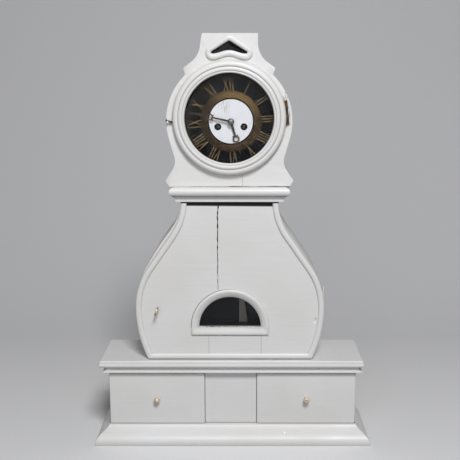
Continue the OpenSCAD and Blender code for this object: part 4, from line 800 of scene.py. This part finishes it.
# %% Shelf
def board_with_nose(name, profile, middle, half, front_y, material, stands_for):
    """Rectangles stacked by a profile (in, up): in moves the front and the two ends inwards."""
    inset, up = np.array(profile, float).T
    back_y = np.full(len(up), BACK_Y)
    side = np.stack([-half + inset, -half + inset, half - inset, half - inset], 1) + middle
    depth = np.stack([back_y, front_y + inset, front_y + inset, back_y], 1)
    rows = np.stack([side, depth, np.repeat(up[:, None], 4, 1)], -1)
    piece(name, [(rows, False)], "case", material, stands_for, 28)


nose = np.vstack([[90, 149.7], arc(4.5, 154.2, 4.5, 270, 165, 20), [1.1, 159.1], [0.75, 159.6],
                  [0.75, 160.0], [1.85, 163.1], arc(2.5, 162.9, 0.6, 165, 90, 5), [90, 163.5]])
board_with_nose("shelf_top", nose, -1.7, 247.5, -56.4, paint_shelf, ["shelf_board"])

# %% [markdown]
# ## The waist's outline and the door's bead
# Each side of the waist is built on three arcs that run into each other: a flat one at the foot,
# a rounder one at the belly, and a hollow one up to the neck. The same arcs as in the packed
# model are drawn again in finer steps, so that the door's half-round bead follows them smoothly.
# The bead is a crown between two edges: the door's own, and the same edge set in.

# %% Waist outline and bead
BELLY_Z, BELLY_X, BELLY_R, FOOT_R = 262.0, 37.4, 138, 232
HOLLOW_X, HOLLOW_Z, HOLLOW_R = 200.7, 465.0, 112
DOOR_Y, DOOR_TOP = -43.4, 460.7
BEAD_W, BEAD_H = 11, 4.0


def waist_edge(inset, low, high):
    """Right edge of the waist, set in by inset: two bulging arcs, a tangent, a hollow arc. The
    tangent leaves the belly at the angle of the line between both centres, less the angle whose
    cosine is the sum of the radii over that line's length."""
    start = math.degrees(math.asin((low - BELLY_Z) / (FOOT_R - inset)))
    end = 180 + math.degrees(math.asin((HOLLOW_Z - high) / (HOLLOW_R + inset)))
    over, rise = HOLLOW_X - BELLY_X, HOLLOW_Z - BELLY_Z
    turn = math.degrees(math.atan2(rise, over) - math.acos((BELLY_R + HOLLOW_R) / math.hypot(rise, over)))
    return np.vstack([arc(BELLY_X + BELLY_R - FOOT_R, BELLY_Z, FOOT_R - inset, start, 0, 28),
                      arc(BELLY_X, BELLY_Z, BELLY_R - inset, 0, turn, 28)[1:],
                      arc(HOLLOW_X, HOLLOW_Z, HOLLOW_R + inset, 180 + turn, end, 28)])


def crown(outer, inner, y, proud):
    """A half-round bar between two edges: it stands proud by sine to a power across its width."""
    turn = np.linspace(0, np.pi, 14)
    across = (1 - np.cos(turn)) / 2
    flat = outer[:, None, :] + (inner - outer)[:, None, :] * across[None, :, None]
    rise = np.broadcast_to(y - proud * np.sin(turn) ** 0.8, flat.shape[:2])
    return np.stack([flat[..., 0], rise, flat[..., 1]], -1)


outer = waist_edge(0, 164.0, DOOR_TOP)
inner = waist_edge(BEAD_W, 164.0 + BEAD_W, DOOR_TOP)
# The level bar along the foot ends a hair inside the two curved ones
low_out, low_in = outer[0] - [0.1, 0], inner[0] - [0.1, 0]
flip = [-1, 1]
bars = [crown(out, ins, DOOR_Y, BEAD_H) + [UPPER_X, 0, 0] for out, ins in (
    (outer, inner), (outer * flip, inner * flip),
    (np.array([low_out * flip, low_out]), np.array([low_in * flip, low_in])))]
piece("door_bead", [(bar, False) for bar in bars], "waist_door", paint_plain,
      ["waist_door_beads"], 40)
print("the waist is widest at", round(float(outer[:, 0].max()), 1))

# %% [markdown]
# ## The half-moon window's frame
# The frame is one section run round an arch, down two short sides and back along the sill. Its
# inner and outer edges are two loops with the same number of points. Every point of the section
# lies at a share of the way between the two loops, so the mitres come out by themselves.

# %% Window frame
WINDOW_Z, WINDOW_IN, WINDOW_OUT, SILL_H = 226.6, 57.5, 72.1, 15.2


def run_round(inner, outer, section, y):
    """A closed frame: a section of (share, proud) between an inner and an outer loop."""
    share, proud = np.array(section, float).T
    flat = inner[:, None, :] + (outer - inner)[:, None, :] * share[None, :, None]
    depth = np.broadcast_to(y - proud, flat.shape[:2])
    return np.stack([flat[..., 0], depth, flat[..., 1]], -1)


def arch_loop(radius, down):
    """A half circle, closed by two corners that lie down millimetres below its ends."""
    return np.vstack([arc(0, 0, radius, 0, 180, 56), [[-radius, -down], [radius, -down]]])


section = [(0.0, -4.1), (0.0, -1.6), (0.03, -1.0), (0.12, -0.2), (0.5, 2.6), (0.62, 3.5),
           (0.7, 3.9), (0.8, 3.98), (0.9, 3.85), (0.96, 3.3), (0.99, 2.4), (1.0, 1.4),
           (1.0, 0.0), (0.13, 0.0), (0.13, -4.1)]
grid = run_round(arch_loop(WINDOW_IN, 0.02), arch_loop(WINDOW_OUT, SILL_H), section, DOOR_Y)
piece("window_frame_run", [(grid + [UPPER_X, 0, WINDOW_Z], True)], "waist_door",
      paint_window, ["window_frame"], 40)

# %% [markdown]
# ## The dial door's bezel
# The bezel is turned work, so one profile is carried round an axis that points at the viewer. It
# has a broad roll outside, a thin groove, a second roll and a small fillet at the glass.

# %% Bezel
def turned(profile, x, y, z, steps):
    """A profile of (radius, forward) turned about the Y axis through x and z."""
    radius, forward = np.array(profile, float).T
    turn = np.linspace(0, 2 * np.pi, steps, endpoint=False)[:, None]
    return np.stack([x + radius * np.cos(turn), np.broadcast_to(y - forward, (steps, len(radius))),
                     z + radius * np.sin(turn)], -1)


bezel = np.vstack([[84.3, 0.0], [100.6, 0.0], [100.6, 2.6], arc(93.6, 5.2, 7.0, 8, 108, 24),
                   [90.9, 10.9], [90.3, 10.3], [89.9, 10.8], arc(86.2, 8.0, 5.0, 42, 122, 20),
                   [83.35, 11.0], [83.0, 11.1], arc(81.3, 9.9, 1.7, 60, 160, 12),
                   [79.0, 9.4], [79.0, 5.8], [84.3, 5.8]])
grid = turned(bezel, UPPER_X, -47.7, 613.0, 180)
piece("bezel_turned", [(grid, True)], "dial_door", paint_plain, ["bezel_ring"], 30)

# %% [markdown]
# ## The drawers' knobs
# Each knob is turned too: a thin neck, a ball-shaped head, and the end of the pin that holds it.
# The pin stands out in front as a small flat spot, so it is part of the same profile.

# %% Knobs
KNOB_Z = 84.95


def knob(side, x):
    """A small mushroom: a thin neck, a ball-shaped head and the end of its pin."""
    profile = np.vstack([[0, -7.5], [2.5, -7.5], [2.5, 0], [4.0, 0], [3.7, 1.2], [2.9, 2.4], [2.7, 5.0],
                         arc(0, 8.6, 5.7, -35, 66, 14), [1.5, 13.5], [1.2, 14.0], [0, 14.0]])
    piece(side + "_knob_turned", [(turned(profile, x, FACE_Y, KNOB_Z, 40), True)],
          side + "_drawer", knob_bone, [side + "_drawer_knob"], 40)


knob("left", -143.125)
knob("right", 139.675)

# %% [markdown]
# ## The crest's rolled frame
# A thick, hand-shaped roll runs round the little opening above the dial. It swells at the two
# lower corners. The opening's outline is drawn twice, once small and once grown by ten
# millimetres, and a half-round crown fills the way between.

# %% Crest frame
CREST_Z, CREST_HALF = 730.2, 29.4


def crest_loop(grow):
    """A low triangle let out by grow: three round corners, and a cosine wave as its lower edge."""
    low, radius = -3 - 0.14 * grow, 2 + 0.97 * grow
    x = np.linspace(CREST_HALF, -CREST_HALF, 29)[1:-1]
    wave = -2.05 - 1.07 * grow + (2.95 + 0.04 * grow) * np.cos(np.pi * x / CREST_HALF)
    return np.vstack([arc(0, 12.0, 4.5 + grow, 128, 52, 14), arc(CREST_HALF, low, radius, 62, -90, 14),
                      np.column_stack([x, wave]), arc(-CREST_HALF, low, radius, 270, 118, 14)])


turn = np.linspace(0, np.pi, 14)
section = np.column_stack([(1 - np.cos(turn)) / 2, 4.4 * np.sin(turn) ** 0.75])
grid = run_round(crest_loop(0.1), crest_loop(10.1), section, UPPER_Y) + [UPPER_X, 0, CREST_Z]
piece("crest_roll", [(grid, True)], "case", paint_plain, ["crest_frame"], 50)

# %% [markdown]
# ## The drawer fronts
# The drawer fronts are drawn anew, because their edges are softly rounded all round, more than a
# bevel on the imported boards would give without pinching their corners. Each front is a stack of
# rounded rectangles that shrink towards the face.

# %% Drawer fronts
FRONT_LOW, FRONT_TOP, FRONT_BACK_Y = 34.7, 135.2, -32.7
CORNER_R, EDGE_R = 2.2, 1.9


def slab(side, x0, x1):
    """A flat panel facing the viewer: rounded rectangles that shrink by a quarter round in front."""
    turn = np.radians(np.linspace(0, 90, 8))
    inset = np.concatenate([[0.0], EDGE_R * (1 - np.cos(turn))])
    depth = np.concatenate([[FRONT_BACK_Y], FACE_Y + EDGE_R * (1 - np.sin(turn))])
    rows = []
    for cut, y in zip(inset, depth):
        radius = max(CORNER_R - cut, 0.4)
        left, right = x0 + cut + radius, x1 - cut - radius
        low, top = FRONT_LOW + cut + radius, FRONT_TOP - cut - radius
        corners = ((right, top, 0), (left, top, 90), (left, low, 180), (right, low, 270))
        loop = np.vstack([arc(x, z, radius, at, at + 90, 6) for x, z, at in corners])
        rows.append(np.column_stack([loop[:, 0], np.full(len(loop), y), loop[:, 1]]))
    piece(side + "_front_slab", [(np.array(rows), False)], side + "_drawer", paint_drawer,
          [side + "_drawer_front"], 25)


slab("left", -233.3, -52.95)
slab("right", 46.05, 233.3)

# %% [markdown]
# ## Boards with softened edges
# The other boards have the right shape already. A bevel modifier on a merged copy gives their
# edges the thin bright line of light that years of hands and paint leave. The waist's bent walls
# need one thing more: they are packed as flat strips, which would show, so each corner on them
# gets the slope of the smooth outline as its normal. Finer strips would also hide them, but only
# at a distance.

# %% Softened boards
WAIST_LOW, WAIST_TOP = 163.5, 463.7
SHOULDER_Z = BELLY_Z + 38
LEFT_SWELL, RIGHT_SWELL = 6.0, 2.0


def softened(node, material, width):
    """A copy of a CAD node with its points merged and its hard edges rounded by a bevel."""
    mesh = nodes[node].data.copy()
    work = bmesh.new()
    work.from_mesh(mesh)
    bmesh.ops.remove_doubles(work, verts=work.verts, dist=2e-6)
    work.to_mesh(mesh)
    work.free()
    made = settle(node + "_soft", mesh, body_of[node], material, (node,), 32)
    if width:
        rim = made.modifiers.new("rounded_edges", "BEVEL")
        rim.width = width / 1000
        rim.segments = 2
        rim.limit_method = "ANGLE"
        rim.angle_limit = math.radians(38)
        rim.use_clamp_overlap = True
        rim.harden_normals = True
    return made


def bent_shading(mesh):
    """Each corner on a bent wall gets the slope of the waist's outline at its own height. The
    shoulders swell by a squared sine. Returns how many corners were bent."""
    edge = waist_edge(0, WAIST_LOW, WAIST_TOP)
    shoulder = np.pi * np.clip(edge[:, 1] - SHOULDER_Z, 0, None) / (WAIST_TOP - SHOULDER_Z)
    place = np.array([mesh.vertices[loop.vertex_index].co for loop in mesh.loops])
    shown = np.array([corner.vector for corner in mesh.corner_normals])
    corners = [flat.loop_total for flat in mesh.polygons]
    face = np.repeat([flat.normal for flat in mesh.polygons], corners, axis=0)
    changed = 0
    for side, swell in ((1, RIGHT_SWELL), (-1, LEFT_SWELL)):
        slope = np.gradient(edge[:, 0] + swell * np.sin(shoulder) ** 2, edge[:, 1])
        lean = np.interp(place[:, 2] * 1000, edge[:, 1], slope)
        out = np.stack([np.full(len(lean), float(side)), np.zeros(len(lean)), -lean], 1)
        out /= np.linalg.norm(out, axis=1)[:, None]
        facing = (out * face).sum(1)
        bent = (np.abs(facing) > 0.99) & ((place[:, 0] * 1000 - UPPER_X) * side > 0)
        shown[bent] = out[bent] * np.sign(facing[bent])[:, None]
        changed += int(bent.sum())
    mesh.normals_split_custom_set(shown.tolist())
    return changed


walls = softened("waist_sides", paint_upright, 0.0)
print("corners on the bent walls:", bent_shading(walls.data))
for node, finish, width in [
    ("drawer_frame", paint_level, 0.5),
    ("base_sides", paint_level, 0.6),
    ("hood_walls", paint_upright, 0.0),
    ("waist_door_panel", paint_door, 0.0),
    ("hood_front_board", paint_hood, 0.8),
    ("waist_hinge_case_leaf", paint_plain, 0.3),
    ("waist_hinge_door_leaf", paint_plain, 0.3),
]:
    softened(node, finish, width)
print("boards softened")

# %% [markdown]
# ## Glass, dial and bare boards
# Flat panes, the dial's sheets and the unpainted boards are seen through glass or not at all.
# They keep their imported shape, and only change their finish.

# %% Glass, dial and bare boards
def dress(material, *names):
    """Gives CAD nodes a finish and leaves their shape alone."""
    for name in names:
        nodes[name].data.materials.clear()
        nodes[name].data.materials.append(material)


dress(pine, "base_floor", "base_back", "left_drawer_box", "right_drawer_box")
dress(pine_upright, "case_back")
dress(pine_dark, "inner_boards")
dress(clear_pane, "bezel_glass")
dress(window_pane, "window_glass")
dress(crest_pane, "crest_glass")
dress(black_iron, "dial_plate")
dress(brass_dial, "chapter_ring")
dress(enamel, "dial_centre")
print("panes, dial and bare boards dressed")

# %% [markdown]
# ## Hands and small fittings
# The hands and small fittings get a very small bevel, because a cast edge never ends in a line.
# The nut on the minute hand is steel, and turned like the knobs: a flange, a dome and the end of
# the arbor.

# %% Hands and fittings
for node, slot, finish, width in [
    ("minute_hand", "bronze", bronze_dark, 0.25),
    ("hour_hand", "bronze", bronze_dark, 0.25),
    ("catch_hook", "bronze", bronze_dark, 0.15),
    ("catch_eye", "brass", brass_old, 0.0),
    ("bezel_hinge_case_leaf", "brass", hinge_worn, 0.2),
    ("bezel_hinge_door_leaf", "brass", hinge_worn, 0.2),
    ("door_key", "brass", brass_key, 0.3),
]:
    softened(node, finish, width)

nut = np.vstack([[0, 0.1], [5.9, 0.1], [6.0, 0.3], [6.0, 1.1], [5.8, 1.3], arc(0, 0.35, 5.75, 10, 62, 14),
                 [1.7, 5.55], arc(0, 5.3, 1.4, 12, 80, 6), [0, 6.7]])
grid = turned(nut, DIAL_X, -42.7, DIAL_Z, 48)
piece("hand_nut", [(grid, True)], "minute", steel_grey, (), 30)

# %% [markdown]
# ## The movement
# Nobody sees the movement while the doors are shut, but it turns, so it is finished as well:
# brass for plates and wheels, steel for arbors, hammer and gong.

# %% Movement
dress(brass_sooty, "movement_front_plate")
dress(brass_clean, "movement_back_plate", "cannon_pinion", "minute_wheel", "hour_wheel",
      "going_great_wheel", "centre_wheel", "third_wheel", "escape_wheel", "pendulum_bob",
      "strike_great_wheel", "strike_second_wheel", "strike_fly", "lock_bolt")
dress(steel_dark, "going_winding_arbor", "strike_winding_arbor")
dress(steel_grey, "anchor", "pendulum_rod", "hammer", "gong", "door_lock")
print("movement dressed")
